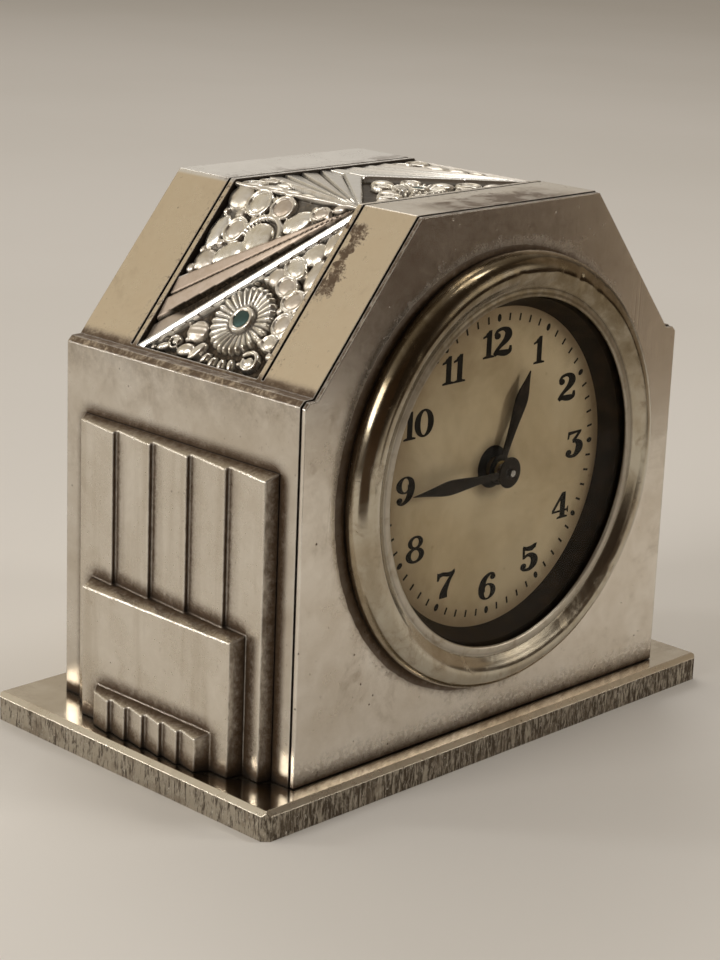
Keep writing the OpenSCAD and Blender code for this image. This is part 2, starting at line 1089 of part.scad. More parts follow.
case_shell();
front_plate();
side_relief_left();
side_relief_right();
ornament_left();
ornament_roof();
ornament_right();
base_plate();
base_screws();
back_plate();
back_plate_screws();
bezel();
crystal();
dial_surround();
dial();
dial_plate();
movement_cover();
bezel_screws();
cover_screws();
front_movement_plate();
rear_movement_plate();
pillars();
pillar_screws();
pillar_nuts();
mainspring_barrel();
barrel_cap();
mainspring();
barrel_arbor();
ratchet_wheel();
click();
click_spring();
winding_key();
intermediate_wheel();
centre_arbor();
centre_wheel();
cannon_pinion();
minute_wheel();
hour_wheel();
third_wheel();
fourth_wheel();
escape_wheel();
pallet_lever();
balance_wheel();
hairspring();
regulator_arm();
setting_knob();
hour_hand();
minute_hand();
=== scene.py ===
import bmesh
import bpy
import json
import math
import numpy as np
from mathutils import Matrix, Vector


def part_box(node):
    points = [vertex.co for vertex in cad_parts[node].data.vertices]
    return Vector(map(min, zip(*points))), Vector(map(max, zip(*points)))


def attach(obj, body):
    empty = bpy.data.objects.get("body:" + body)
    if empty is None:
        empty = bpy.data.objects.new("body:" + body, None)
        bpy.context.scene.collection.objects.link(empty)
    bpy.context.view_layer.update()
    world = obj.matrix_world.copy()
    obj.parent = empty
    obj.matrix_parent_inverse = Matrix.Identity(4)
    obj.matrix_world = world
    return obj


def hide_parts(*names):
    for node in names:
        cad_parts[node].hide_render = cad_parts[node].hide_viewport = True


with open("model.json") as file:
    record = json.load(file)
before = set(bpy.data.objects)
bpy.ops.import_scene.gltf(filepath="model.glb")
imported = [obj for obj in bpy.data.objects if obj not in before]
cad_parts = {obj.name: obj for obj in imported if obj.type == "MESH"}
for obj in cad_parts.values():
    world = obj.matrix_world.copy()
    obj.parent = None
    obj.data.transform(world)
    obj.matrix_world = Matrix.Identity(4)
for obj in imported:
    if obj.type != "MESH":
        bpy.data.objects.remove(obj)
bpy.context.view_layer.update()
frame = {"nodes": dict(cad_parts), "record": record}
nodes = frame["nodes"]

MM = 0.001


# ---------------------------------------------------------------- dimensions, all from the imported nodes, in mm
def box_mm(name):
    lo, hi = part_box(name)
    return np.array(lo) / MM, np.array(hi) / MM


shell_hi = box_mm("case_shell")[1]
dial_lo, dial_hi = box_mm("dial")
YF = box_mm("front_plate")[0][1]        # front face plane
YB = shell_hi[1]                        # back of the body
YC = (YF + YB) / 2                      # middle of the body
ZD = (dial_lo[2] + dial_hi[2]) / 2      # dial centre
ROOF_Z = shell_hi[2]
DIAL_Y = dial_lo[1]                     # dial face
SLOPE_X, SHOULDER, ROOF_HALF = 56.5, 88.8, 28.4   # foot and top of the ornament slopes
SLOPE_A = math.atan2(ROOF_Z - SHOULDER, SLOPE_X - ROOF_HALF)
SLOPE_L = math.hypot(ROOF_Z - SHOULDER, SLOPE_X - ROOF_HALF)
CH = 18.62                              # half width of the ornament strips


# ---------------------------------------------------------------- node helpers
class Mat:
    """A small builder for one node material."""

    def __init__(self, name):
        self.m = bpy.data.materials.new(name)
        self.m.use_nodes = True
        self.nt = self.m.node_tree
        self.nt.nodes.clear()
        self.coord = self.nt.nodes.new("ShaderNodeTexCoord")
        self.col = None

    def node(self, kind, inputs=None, **props):
        n = self.nt.nodes.new(kind)
        for k, v in props.items():
            setattr(n, k, v)
        for k, v in (inputs or {}).items():
            self.put(n.inputs[k], v)
        return n

    def put(self, socket, v):
        if isinstance(v, bpy.types.NodeSocket):
            self.nt.links.new(v, socket)
        else:
            socket.default_value = v

    def pos(self, scale=(1, 1, 1), rot=(0, 0, 0)):
        n = self.node("ShaderNodeMapping", {"Vector": self.coord.outputs["Object"], "Scale": scale, "Rotation": rot})
        return n.outputs[0]

    def xyz(self):
        n = self.node("ShaderNodeSeparateXYZ", {"Vector": self.coord.outputs["Object"]})
        return n.outputs[0], n.outputs[1], n.outputs[2]

    def noise(self, scale, detail=4.0, rough=0.55, distort=0.0, vec=None):
        n = self.node("ShaderNodeTexNoise", {"Vector": vec or self.coord.outputs["Object"], "Scale": scale,
                                             "Detail": detail, "Roughness": rough, "Distortion": distort})
        return n.outputs[0]

    def voronoi(self, scale):
        return self.node("ShaderNodeTexVoronoi", {"Vector": self.coord.outputs["Object"], "Scale": scale}).outputs[0]

    def step(self, fac, a, b, lo=0.0, hi=1.0):
        n = self.node("ShaderNodeMapRange", {"Value": fac, "From Min": a, "From Max": b, "To Min": lo, "To Max": hi},
                      interpolation_type="SMOOTHSTEP")
        return n.outputs[0]

    def math(self, op, a, b=None, c=None, clamp=False):
        n = self.node("ShaderNodeMath", operation=op, use_clamp=clamp)
        self.put(n.inputs[0], a)
        if b is not None:
            self.put(n.inputs[1], b)
        if c is not None:
            self.put(n.inputs[2], c)
        return n.outputs[0]

    def mul(self, *factors):
        out = factors[0]
        for f in factors[1:]:
            out = self.math("MULTIPLY", out, f)
        return out

    def add(self, *terms, clamp=False):
        """Sum of the terms; clamp holds the last sum to 0..1."""
        out = terms[0]
        for v in terms[1:]:
            out = self.math("ADD", out, v, clamp=clamp and v is terms[-1])
        return out

    def most(self, a, b, clamp=False):
        return self.math("MAXIMUM", a, b, clamp=clamp)

    def abs(self, a):
        return self.math("ABSOLUTE", a)

    def inv(self, a):
        return self.math("SUBTRACT", 1.0, a)

    def swing(self, a, amount):
        """A 0..1 value as a swing of +-amount / 2 about zero."""
        return self.mul(self.add(a, -0.5), amount)

    def length(self, a, b):
        return self.math("SQRT", self.add(self.mul(a, a), self.mul(b, b)))

    def pits(self, cells, near, far, patches, lo, hi):
        """Small round spots, only where a broad noise lets them be."""
        return self.mul(self.step(self.voronoi(cells), near, far), self.step(self.noise(patches, 3), lo, hi))

    def tone(self):
        """The mesh's own three tone channels."""
        att = self.node("ShaderNodeAttribute", attribute_name="tone", attribute_type="GEOMETRY")
        return self.node("ShaderNodeSeparateColor", {"Color": att.outputs["Color"]}).outputs

    def mix(self, fac, a, b):
        n = self.node("ShaderNodeMix", data_type="RGBA")
        self.put(n.inputs[0], fac)
        self.put(n.inputs[6], (*a, 1) if isinstance(a, tuple) else a)
        self.put(n.inputs[7], (*b, 1) if isinstance(b, tuple) else b)
        return n.outputs[2]

    def paint(self, fac, color):
        """Lay a colour over the running one."""
        self.col = self.mix(fac, self.col, color)

    def hidden(self, dist, samples=8):
        """1 in tight corners, 0 in the open."""
        n = self.node("ShaderNodeAmbientOcclusion", {"Distance": dist}, samples=samples)
        return self.inv(n.outputs["AO"])

    def bump(self, height, strength, dist, normal=None):
        n = self.node("ShaderNodeBump", {"Height": height, "Strength": strength, "Distance": dist})
        if normal is not None:
            self.put(n.inputs["Normal"], normal)
        return n.outputs[0]

    def edge(self, radius):
        """(rounded normal, mask that is 1 on worn convex and concave edges)"""
        bev = self.node("ShaderNodeBevel", {"Radius": radius}, samples=4)
        geo = self.node("ShaderNodeNewGeometry")
        d = self.node("ShaderNodeVectorMath", operation="DOT_PRODUCT")
        self.put(d.inputs[0], bev.outputs[0])
        self.put(d.inputs[1], geo.outputs["Normal"])
        return bev.outputs[0], self.step(d.outputs["Value"], 0.998, 0.9)

    def facing(self, axis):
        geo = self.node("ShaderNodeNewGeometry")
        n = self.node("ShaderNodeSeparateXYZ", {"Vector": geo.outputs["Normal"]})
        return n.outputs[axis]

    def finish(self, color, rough, metallic=1.0, normal=None, **sockets):
        b = self.node("ShaderNodeBsdfPrincipled")
        self.put(b.inputs["Base Color"], (*color, 1) if isinstance(color, tuple) else color)
        self.put(b.inputs["Roughness"], rough)
        self.put(b.inputs["Metallic"], metallic)
        if normal is not None:
            self.put(b.inputs["Normal"], normal)
        for k, v in sockets.items():
            self.put(b.inputs[k.replace("_", " ")], v)
        self.node("ShaderNodeOutputMaterial", {"Surface": b.outputs[0]})
        return self.m


# ---------------------------------------------------------------- metals
def tint(color, *factors):
    return tuple(min(1, c * f) for c, f in zip(color, factors))


BROWN = (0.21, 0.15, 0.095)             # bare bronze under the plate


def plated(name, light, dull, rough, brushed, extra, ao_d, cloud, edge_r, worn, pits=0.5, streak=0.0,
           reach=(0.13, 0.36), warm=0.0, dark=BROWN):
    """Old silver plate on bronze: soft tone changes, brown in the corners, bright worn edges, pits and fine lines."""
    t = Mat(name)
    big = t.noise(32, 4, 0.6, 0.3)
    mid = t.noise(170, 6, 0.62, 0.4)
    fine = t.noise(900, 5, 0.65)
    tiny = t.noise(2300, 3, 0.6)
    t.col = t.mix(t.step(t.add(t.mul(big, 0.6), t.mul(mid, 0.4)), 0.3, 0.7), light, dull)
    if warm:
        nz = t.facing(2)
        slope = t.mul(t.step(nz, 0.3, 0.5), t.step(nz, 0.9, 0.75))
        gold = t.mix(mid, (0.79, 0.68, 0.515), (0.69, 0.565, 0.40))
        t.paint(t.mul(slope, warm), gold)
        # painted highlight: the roof's back border is painted near-white for the bright sheen it catches from behind
        _, y, z = t.xyz()
        rear = t.mul(t.step(z, 0.1215, 0.1222), t.step(y, (YC + 16) * MM, (YC + 18.5) * MM))
        t.paint(t.mul(rear, 0.85), (0.84, 0.83, 0.815))
    if streak:
        sv = t.noise(240, 4, 0.6, 0.0, vec=t.pos(scale=(1, 1, 0.07)))
        t.paint(t.step(sv, 0.45, 0.7, 0.0, streak), tint(dull, 0.72, 0.68, 0.62))
    # stains: broad soft clouds of brown with a broken rim
    stain = t.mul(t.step(t.noise(48, 9, 0.72, 0.8), 0.52, 0.7), t.step(mid, 0.4, 0.6))
    t.paint(t.mul(stain, cloud), dark)
    freck = t.mul(t.step(t.noise(620, 5, 0.75), 0.62, 0.7), t.step(big, 0.45, 0.6, 0.12, 0.5))
    t.paint(freck, dark)
    occ = t.hidden(ao_d * MM)
    broken = t.add(0.1, t.mul(t.noise(560, 8, 0.85), 1.7))
    crev = t.step(t.mul(occ, broken), *reach)
    # the caller's extra marks take the crevices' dark colour: grime and wear, and on the reliefs and the front plate
    # also painted shade and a painted reflection
    if extra:
        crev = t.most(crev, extra(t, mid, fine), clamp=True)
    grimy = tint(dark, 0.26, 0.23, 0.2)
    t.paint(crev, t.mix(fine, grimy, tint(grimy, 2.4, 2.2, 2.0)))
    tight = t.step(t.mul(occ, broken), reach[1] + 0.06, reach[1] + 0.3, 0.0, 0.92)
    t.paint(tight, (0.013, 0.010, 0.0075))
    pit = t.mul(t.pits(420, 0.14, 0.05, 110, 0.55, 0.64), pits)
    t.paint(pit, tint(dark, 0.35, 0.3, 0.26))
    # worn edges
    nrm, edge = t.edge(edge_r * MM)
    wear = t.mul(edge, t.step(occ, 0.3, 0.1), t.step(t.noise(300, 5, 0.75), 0.34, 0.52, worn * 0.3, worn))
    t.paint(wear, (0.95, 0.93, 0.88))
    # fine lines left by polishing
    lines = t.noise(700, 3, 0.6, vec=t.pos(scale=brushed))
    scr = t.step(t.noise(300, 2, 0.5, 1.2, vec=t.pos(scale=(1, 1, 0.06), rot=(0.4, 0.3, 0.2))), 0.66, 0.74)
    scr2 = t.step(t.noise(260, 2, 0.5, 1.0, vec=t.pos(scale=(0.07, 1, 1), rot=(0.1, 0.5, 0.9))), 0.67, 0.75)
    r = t.add(rough - 0.05, t.mul(big, 0.1), t.swing(mid, 0.16), t.swing(fine, 0.12), t.mul(crev, 0.3),
              t.mul(pit, 0.3), t.mul(wear, -0.1), clamp=True)
    h = t.add(t.mul(lines, 0.3), t.mul(tiny, 0.12), t.mul(t.add(scr, scr2), -0.35), t.mul(pit, -2.2),
              t.mul(mid, 0.9))
    n = t.bump(h, 0.2, 0.12 * MM, nrm)
    return t.finish(t.col, r, t.inv(t.mul(crev, 0.5)), n)


def turned_brass(name, light, dark, rough):
    """Lacquered clock brass with a faint grain, a little tarnish and dark corners."""
    t = Mat(name)
    big = t.noise(55, 4, 0.6)
    fine = t.noise(1400, 4, 0.6, vec=t.pos(scale=(1, 1, 0.12)))
    t.col = t.mix(t.step(big, 0.35, 0.68), light, dark)
    spots = t.mul(t.step(t.noise(240, 6, 0.7, 0.4), 0.6, 0.74), 0.5)
    t.paint(spots, tint(dark, 0.45, 0.38, 0.3))
    occ = t.hidden(2.2 * MM, 6)
    crev = t.step(occ, 0.2, 0.65, 0.0, 0.75)
    t.paint(crev, tint(dark, 0.25, 0.2, 0.14))
    nrm, edge = t.edge(0.2 * MM)
    t.paint(t.mul(edge, 0.35), tint(light, 1.2, 1.2, 1.25))
    r = t.add(rough, t.swing(fine, 0.2), t.mul(crev, 0.25), clamp=True)
    n = t.bump(t.add(t.mul(fine, 0.6), t.mul(t.noise(500, 4), 0.4)), 0.15, 0.08 * MM, nrm)
    return t.finish(t.col, r, 1.0, n)


def steel(name, light, dark, rough):
    """Ground steel with a few rust specks."""
    t = Mat(name)
    big = t.noise(120, 5, 0.6)
    fine = t.noise(1800, 3, 0.6, vec=t.pos(scale=(1, 0.1, 1)))
    t.col = t.mix(t.step(big, 0.35, 0.7), light, dark)
    rust = t.mul(t.step(t.noise(420, 7, 0.7), 0.62, 0.75), 0.4)
    t.paint(rust, (0.16, 0.09, 0.05))
    nrm = t.edge(0.12 * MM)[0]
    r = t.add(rough, t.mul(t.add(fine, -0.4), 0.22), clamp=True)
    r = t.add(r, t.mul(rust, 0.4), clamp=True)
    return t.finish(t.col, r, 1.0, t.bump(fine, 0.12, 0.05 * MM, nrm))


def border_wear(t, mid, fine):
    """Brown worn patch beside the front rail of the slopes and grime flecks along both rails and the roof's middle."""
    x, y, z = t.xyz()
    yy = t.add(y, t.swing(t.noise(95, 6, 0.75, 0.5), 0.02))
    py = t.mul(t.step(yy, (YC - 29) * MM, (YC - 23) * MM), t.step(yy, (YC - 18.5) * MM, (YC - 20.5) * MM))
    pz = t.mul(t.step(z, 0.098, 0.108), t.step(z, 0.1215, 0.1185))
    speckle = t.add(t.mul(t.noise(430, 7, 0.8), 0.55), t.mul(t.noise(1500, 6, 0.8), 0.45))
    patch = t.step(t.mul(py, pz, speckle), 0.33, 0.5)
    rail = t.mul(t.step(t.abs(t.add(y, -YC * MM)), 0.0235, 0.0205), t.step(z, 0.0885, 0.089))
    rail = t.mul(rail, t.step(t.noise(700, 6, 0.8), 0.53, 0.62))
    roof = t.mul(t.step(z, 0.1215, 0.1225), t.step(yy, (YC - 22) * MM, (YC - 28) * MM))
    roof = t.mul(roof, t.step(t.abs(x), 0.027, 0.012), t.step(mid, 0.36, 0.58, 0.5, 0.9))
    back = t.mul(t.step(z, 0.1215, 0.1225), t.step(yy, (YC + 27) * MM, (YC + 21) * MM))
    back = t.mul(back, t.step(y, (YC + 17) * MM, (YC + 20) * MM), t.step(mid, 0.42, 0.6, 0.0, 0.6))
    out = t.most(t.most(t.mul(patch, 0.97), t.mul(rail, 0.9)), roof)
    foot = t.mul(t.step(t.add(z, t.mul(t.noise(380, 8, 0.8), -0.0022)), 0.0896, 0.0884), t.step(z, 0.0868, 0.0874))
    foot = t.mul(foot, t.step(t.facing(2), 0.3, 0.45))
    out = t.most(out, t.mul(foot, t.step(t.noise(300, 8, 0.8), 0.36, 0.54, 0.35, 0.95)))
    top = t.mul(t.step(t.abs(t.facing(0)), 0.9, 0.97), t.step(t.add(z, t.swing(mid, 0.012)), 0.078, 0.0885),
                t.step(t.noise(240, 7, 0.8), 0.36, 0.62, 0.08, 0.36))
    return t.most(t.most(out, top), back)


def front_wear(t, mid, fine):
    """Dark bloom round the bezel and along the foot, a rough dark line at the plate's edge, and a painted reflection: a
    crisp dark band beside the bezel, wider on its left, for the bezel's dark wall mirrored in the face.
    """
    x, _, z = t.xyz()
    dz = t.add(z, -ZD * MM)
    rad = t.add(t.length(x, dz), t.swing(t.noise(130, 7, 0.75), 0.012))
    halo = t.mul(t.step(rad, 0.0525, 0.0480), t.step(t.noise(430, 8, 0.8), 0.45, 0.62, 0.08, 0.8))
    foot = t.mul(t.step(t.add(z, t.mul(mid, 0.006)), 0.016, 0.0105), t.step(fine, 0.4, 0.6, 0.1, 0.55))
    rim = t.mul(t.step(t.facing(2), 0.25, 0.4), t.step(t.noise(520, 8, 0.85), 0.32, 0.55, 0.3, 0.97))
    foot = t.most(foot, rim)
    # painted reflection of the bezel's dark wall in the polished face, centred a little to the left
    near = t.add(t.length(t.add(x, 1.25 * MM), dz), t.swing(t.noise(420, 8, 0.8), 0.0009))
    ring = t.step(near, 0.04945, 0.04915, 0.0, 0.93)
    return t.most(t.most(halo, foot), t.mul(ring, t.add(0.72, t.mul(mid, 0.4))))


def relief_wear(t, mid, fine):
    """Painted shade: the walls that face the front of the clock are painted dark in broken patches."""
    wall = t.step(t.facing(1), -0.55, -0.9)
    return t.mul(wall, t.step(t.noise(480, 8, 0.8, vec=t.pos(scale=(1, 1, 0.4))), 0.4, 0.6, 0.1, 0.72))


M = {}
M["case_bronze"] = plated("case_bronze", (0.72, 0.675, 0.605), (0.56, 0.50, 0.415), 0.3, (1, 0.08, 1), border_wear,
                          ao_d=3.4, cloud=0.2, edge_r=0.45, worn=0.9, reach=(0.03, 0.13), warm=0.8)
M["front_bronze"] = plated("front_bronze", (0.86, 0.81, 0.735), (0.69, 0.62, 0.525), 0.23, (1, 1, 0.1), front_wear,
                           ao_d=4.5, cloud=0.4, edge_r=0.45, worn=0.95, pits=0.9)
M["relief_bronze"] = plated("relief_bronze", (0.78, 0.73, 0.65), (0.64, 0.58, 0.49), 0.26, (1, 1, 0.1), relief_wear,
                            ao_d=4.2, cloud=0.15, edge_r=0.5, worn=1.0, streak=0.35, reach=(0.035, 0.14))


def ornament_metal():
    """Bright cast silver, dark brown in the recesses; the mesh's tone channels place the shadowed planes."""
    t = Mat("ornament_silver")
    deep, pink, polish = t.tone()
    mid = t.noise(330, 6, 0.65, 0.3)
    fine = t.noise(1300, 5, 0.65)
    t.col = t.mix(t.step(mid, 0.35, 0.7), (0.88, 0.85, 0.79), (0.70, 0.645, 0.54))
    t.paint(t.mul(pink, 0.85), t.mix(t.mul(t.add(mid, fine), 0.5), (0.51, 0.40, 0.32), (0.29, 0.215, 0.16)))
    occ = t.hidden(1.3 * MM)
    broken = t.add(0.6, t.mul(t.noise(800, 5, 0.7), 0.8))
    crev = t.step(t.mul(occ, broken), 0.2, 0.52)
    dark = t.most(t.mul(crev, 0.97), t.mul(deep, t.add(0.9, t.mul(mid, 0.3))), clamp=True)
    dark = t.mul(dark, t.inv(t.mul(polish, 0.9)))
    t.paint(dark, t.mix(t.step(fine, 0.45, 0.7), (0.035, 0.026, 0.017), (0.12, 0.088, 0.058)))
    t.paint(t.mul(polish, 0.85), (0.88, 0.88, 0.87))
    eye = t.step(deep, 1.3, 1.7)
    t.paint(t.mul(eye, 0.9), t.mix(mid, (0.018, 0.045, 0.042), (0.07, 0.13, 0.12)))
    r = t.add(0.19, t.mul(mid, 0.16), t.mul(eye, -0.12), t.mul(pink, 0.19), t.mul(dark, 0.3),
              t.mul(polish, -0.12), clamp=True)
    n = t.bump(t.add(t.mul(fine, 0.5), mid), 0.25, 0.06 * MM)
    return t.finish(t.col, r, t.inv(t.mul(dark, 0.2)), n)


def base_metal():
    """The slab: mirror-like top, rough brown sides with fine short upright gouges and bright specks."""
    t = Mat("base_bronze")
    up = t.facing(2)
    side = t.step(up, 0.35, 0.2)
    cham = t.mul(t.step(up, 0.35, 0.5), t.step(up, 0.95, 0.85))
    big = t.noise(45, 4, 0.6)
    mid = t.noise(240, 6, 0.65)
    top = t.mix(t.step(big, 0.35, 0.7), (0.66, 0.60, 0.50), (0.52, 0.45, 0.35))
    g1 = t.noise(1250, 5, 0.72, 0.4, vec=t.pos(scale=(1, 1, 0.2)))
    g2 = t.noise(2600, 3, 0.6, vec=t.pos(scale=(1, 1, 0.3)))
    front = t.step(t.abs(t.facing(0)), 0.8, 0.5, 0.0, 0.05)
    gouge = t.step(t.add(t.mul(g1, 0.75), t.mul(g2, 0.25), front), 0.47, 0.6)
    speck = t.mul(t.step(t.noise(1500, 4, 0.7, vec=t.pos(scale=(1, 1, 0.5))), 0.63, 0.7), side)
    rough_col = t.mix(gouge, (0.50, 0.45, 0.37), (0.10, 0.076, 0.052))
    rough_col = t.mix(t.mul(t.step(mid, 0.48, 0.66), 0.6), rough_col, (0.24, 0.195, 0.145))
    rough_col = t.mix(speck, rough_col, (0.8, 0.77, 0.7))
    col = t.mix(side, top, rough_col)
    col = t.mix(t.mul(cham, 0.5), col, (0.70, 0.65, 0.55))
    occ = t.hidden(2.6 * MM)
    crev = t.mul(t.step(t.mul(occ, t.add(0.5, mid)), 0.3, 0.6), 0.95, t.inv(side))
    col = t.mix(crev, col, (0.045, 0.034, 0.022))
    nrm, edge = t.edge(0.3 * MM)
    col = t.mix(t.mul(edge, 0.6, t.step(mid, 0.42, 0.6)), col, (0.85, 0.81, 0.72))
    pit = t.pits(450, 0.14, 0.05, 90, 0.57, 0.66)
    col = t.mix(pit, col, (0.1, 0.075, 0.05))
    smear = t.step(t.noise(75, 6, 0.7, 0.5), 0.5, 0.68)
    col = t.mix(t.mul(smear, 0.4, t.inv(side)), col, (0.27, 0.2, 0.13))
    r = t.add(0.1, t.mul(mid, 0.12), t.mul(smear, 0.08), t.mul(cham, 0.12), t.mul(side, 0.3),
              t.mul(side, gouge, 0.25), t.mul(crev, 0.3), clamp=True)
    hs = t.mul(side, t.add(t.mul(gouge, -0.8), t.mul(g1, -0.7)))
    ht = t.mul(t.add(mid, t.mul(t.noise(1200, 4), 0.3)), 0.06)
    n = t.bump(t.add(hs, ht), 0.6, 0.25 * MM, nrm)
    return t.finish(col, r, t.inv(t.mul(side, gouge, 0.4)), n)


def bezel_metal():
    """Polished nickel, a little yellow, brown where it has worn through, satin inner lip, and an upper half painted
    darker: tarnish and painted shade.
    """
    t = Mat("bezel_plate")
    crease, satin = t.tone()[:2]
    big = t.noise(60, 5, 0.6, 0.4)
    mid = t.noise(260, 6, 0.65, 0.5)
    fine = t.noise(1500, 4, 0.6)
    t.col = t.mix(t.step(big, 0.35, 0.68), (0.57, 0.525, 0.43), (0.43, 0.37, 0.275))
    t.paint(t.mul(satin, 0.8), (0.52, 0.475, 0.405))
    stain = t.mul(t.step(mid, 0.5, 0.72), 0.45)
    t.paint(stain, (0.25, 0.18, 0.11))
    # the ring's upper half painted dark olive-brown, stronger towards the top: partly tarnish, partly painted shade
    z = t.xyz()[2]
    upper = t.mul(t.step(t.add(z, t.swing(big, 0.03)), ZD * MM + 0.004, ZD * MM + 0.036),
                  t.step(mid, 0.25, 0.6, 0.6, 0.98))
    t.paint(upper, (0.18, 0.14, 0.085))
    streak = t.step(t.noise(160, 6, 0.75, 1.2, vec=t.pos(scale=(1, 1, 0.45), rot=(0, 0.5, 0))), 0.5, 0.68)
    t.paint(t.mul(streak, 0.45), (0.33, 0.27, 0.18))
    dark = t.mul(crease, t.add(0.7, t.mul(mid, 0.5)))
    t.paint(t.math("MINIMUM", dark, 1.0), (0.035, 0.026, 0.018))
    r = t.add(0.11, t.mul(mid, 0.12), t.mul(satin, 0.2), t.mul(stain, 0.25), t.mul(crease, 0.35), clamp=True)
    scr = t.step(t.noise(420, 2, 0.5, 1.0, vec=t.pos(scale=(0.1, 1, 1), rot=(0, 0.7, 0.2))), 0.68, 0.75)
    n = t.bump(t.add(t.mul(mid, 0.8), t.add(t.mul(fine, 0.2), t.mul(scr, -0.3))), 0.14, 0.1 * MM)
    return t.finish(t.col, r, t.inv(t.mul(crease, 0.4)), n)


def dial_paper():
    """Aged cream card: fibres, soft brown mottling, foxing; painted shade towards the rim, at the upper left and round
    the hub, and broad light and dark patches painted for the glass's reflections.
    """
    t = Mat("dial_card")
    x, _, z = t.xyz()
    dz = t.add(z, -ZD * MM)
    rad = t.length(x, dz)
    big = t.noise(42, 5, 0.6, 0.5)
    mid = t.noise(190, 7, 0.68, 0.3)
    fibre = t.noise(2600, 3, 0.6, vec=t.pos(scale=(1, 1, 0.35), rot=(0, 0.6, 0)))
    cloud = t.noise(26, 5, 0.55, 0.6)
    t.col = t.mix(t.step(big, 0.32, 0.68), (0.63, 0.515, 0.34), (0.44, 0.345, 0.21))
    t.paint(t.mul(t.step(mid, 0.45, 0.72), 0.4), (0.47, 0.36, 0.22))
    # painted reflections: broad light patches for what the glass reflects, and broad dark ones for painted shade
    t.paint(t.step(cloud, 0.42, 0.62, 0.0, 0.4), (0.80, 0.705, 0.53))
    t.paint(t.step(cloud, 0.46, 0.3, 0.0, 0.35), (0.33, 0.25, 0.15))
    t.paint(t.mul(fibre, 0.12), (0.85, 0.76, 0.6))
    fox = t.pits(210, 0.13, 0.03, 70, 0.55, 0.64)
    t.paint(t.mul(fox, 0.75), (0.22, 0.13, 0.06))
    # painted shade: darker towards the rim, where the bezel shades the card
    rim = t.step(t.add(rad, t.swing(mid, 0.006)), 0.028, 0.0368, 0.0, 0.8)
    t.paint(rim, (0.24, 0.17, 0.1))
    shade = t.step(t.add(t.mul(x, -0.75), t.mul(dz, 0.55), t.swing(big, 0.02)), 0.012, 0.03, 0.0, 0.62)
    t.paint(shade, (0.25, 0.175, 0.095))
    # painted shadow: a dark soft disc round the hub for the shadow of the hands' bosses
    hub = t.step(t.add(rad, t.swing(mid, 0.003)), 0.0085, 0.0045, 0.0, 0.6)
    t.paint(hub, (0.14, 0.1, 0.06))
    n = t.bump(t.add(fibre, mid), 0.18, 0.05 * MM)
    return t.finish(t.col, t.add(0.52, t.mul(mid, 0.2)), 0.0, n, Specular_IOR_Level=0.35)


def ink():
    """Printer's black, a little worn."""
    t = Mat("dial_ink")
    mid = t.noise(900, 5, 0.7)
    black = (0.008, 0.006, 0.0045)
    t.col = t.mix(t.step(mid, 0.5, 0.78), black, tint(black, 3.2, 3, 2.6))
    return t.finish(t.col, t.add(0.55, t.mul(mid, 0.25)), 0.0, t.bump(mid, 0.2, 0.03 * MM), Specular_IOR_Level=0.2)


def blued():
    """Nearly black blued steel with brown wear on its edges."""
    t = Mat("hand_black")
    mid = t.noise(520, 6, 0.7)
    fine = t.noise(2400, 4, 0.65)
    t.col = t.mix(t.step(mid, 0.4, 0.7), (0.014, 0.011, 0.009), (0.034, 0.026, 0.02))
    worn = t.mul(t.step(t.noise(1500, 5, 0.75), 0.66, 0.76), 0.5)
    t.paint(worn, (0.09, 0.07, 0.05))
    nrm, edge = t.edge(0.1 * MM)
    t.paint(t.mul(edge, 0.3), (0.1, 0.085, 0.07))
    return t.finish(t.col, t.add(0.3, t.mul(mid, 0.25)), 0.75, t.bump(t.add(mid, fine), 0.25, 0.05 * MM, nrm))


def surround():
    """Dark ring between the card and the bezel, faintly turned."""
    t = Mat("surround_dark")
    mid = t.noise(300, 6, 0.65)
    t.col = t.mix(t.step(mid, 0.38, 0.7), (0.016, 0.010, 0.005), (0.036, 0.024, 0.013))
    ring = t.noise(900, 2, 0.5, vec=t.pos(scale=(0.05, 1, 0.05)))
    return t.finish(t.col, t.add(0.5, t.mul(mid, 0.2)), 0.15, t.bump(t.add(ring, mid), 0.2, 0.08 * MM),
                    Specular_IOR_Level=0.14)


def glass():
    """Thin clear watch glass: see-through, with a faint wipe haze and reflections that grow towards its rim."""
    t = Mat("glass")
    haze = t.noise(80, 6, 0.65, 0.6)
    lw = t.node("ShaderNodeLayerWeight", {"Blend": 0.5})
    grow = t.math("POWER", lw.outputs["Facing"], 5.0)
    fac = t.math("MULTIPLY_ADD", grow, 0.1, 0.004)
    clear = t.node("ShaderNodeBsdfTransparent", {"Color": (0.975, 0.97, 0.95, 1)})
    gloss = t.node("ShaderNodeBsdfAnisotropic", {"Color": (1, 1, 1, 1)})
    t.put(gloss.inputs["Roughness"], t.step(haze, 0.4, 0.75, 0.03, 0.12))
    mixed = t.node("ShaderNodeMixShader", {0: fac, 1: clear.outputs[0], 2: gloss.outputs[0]})
    t.node("ShaderNodeOutputMaterial", {"Surface": mixed.outputs[0]})
    return t.m


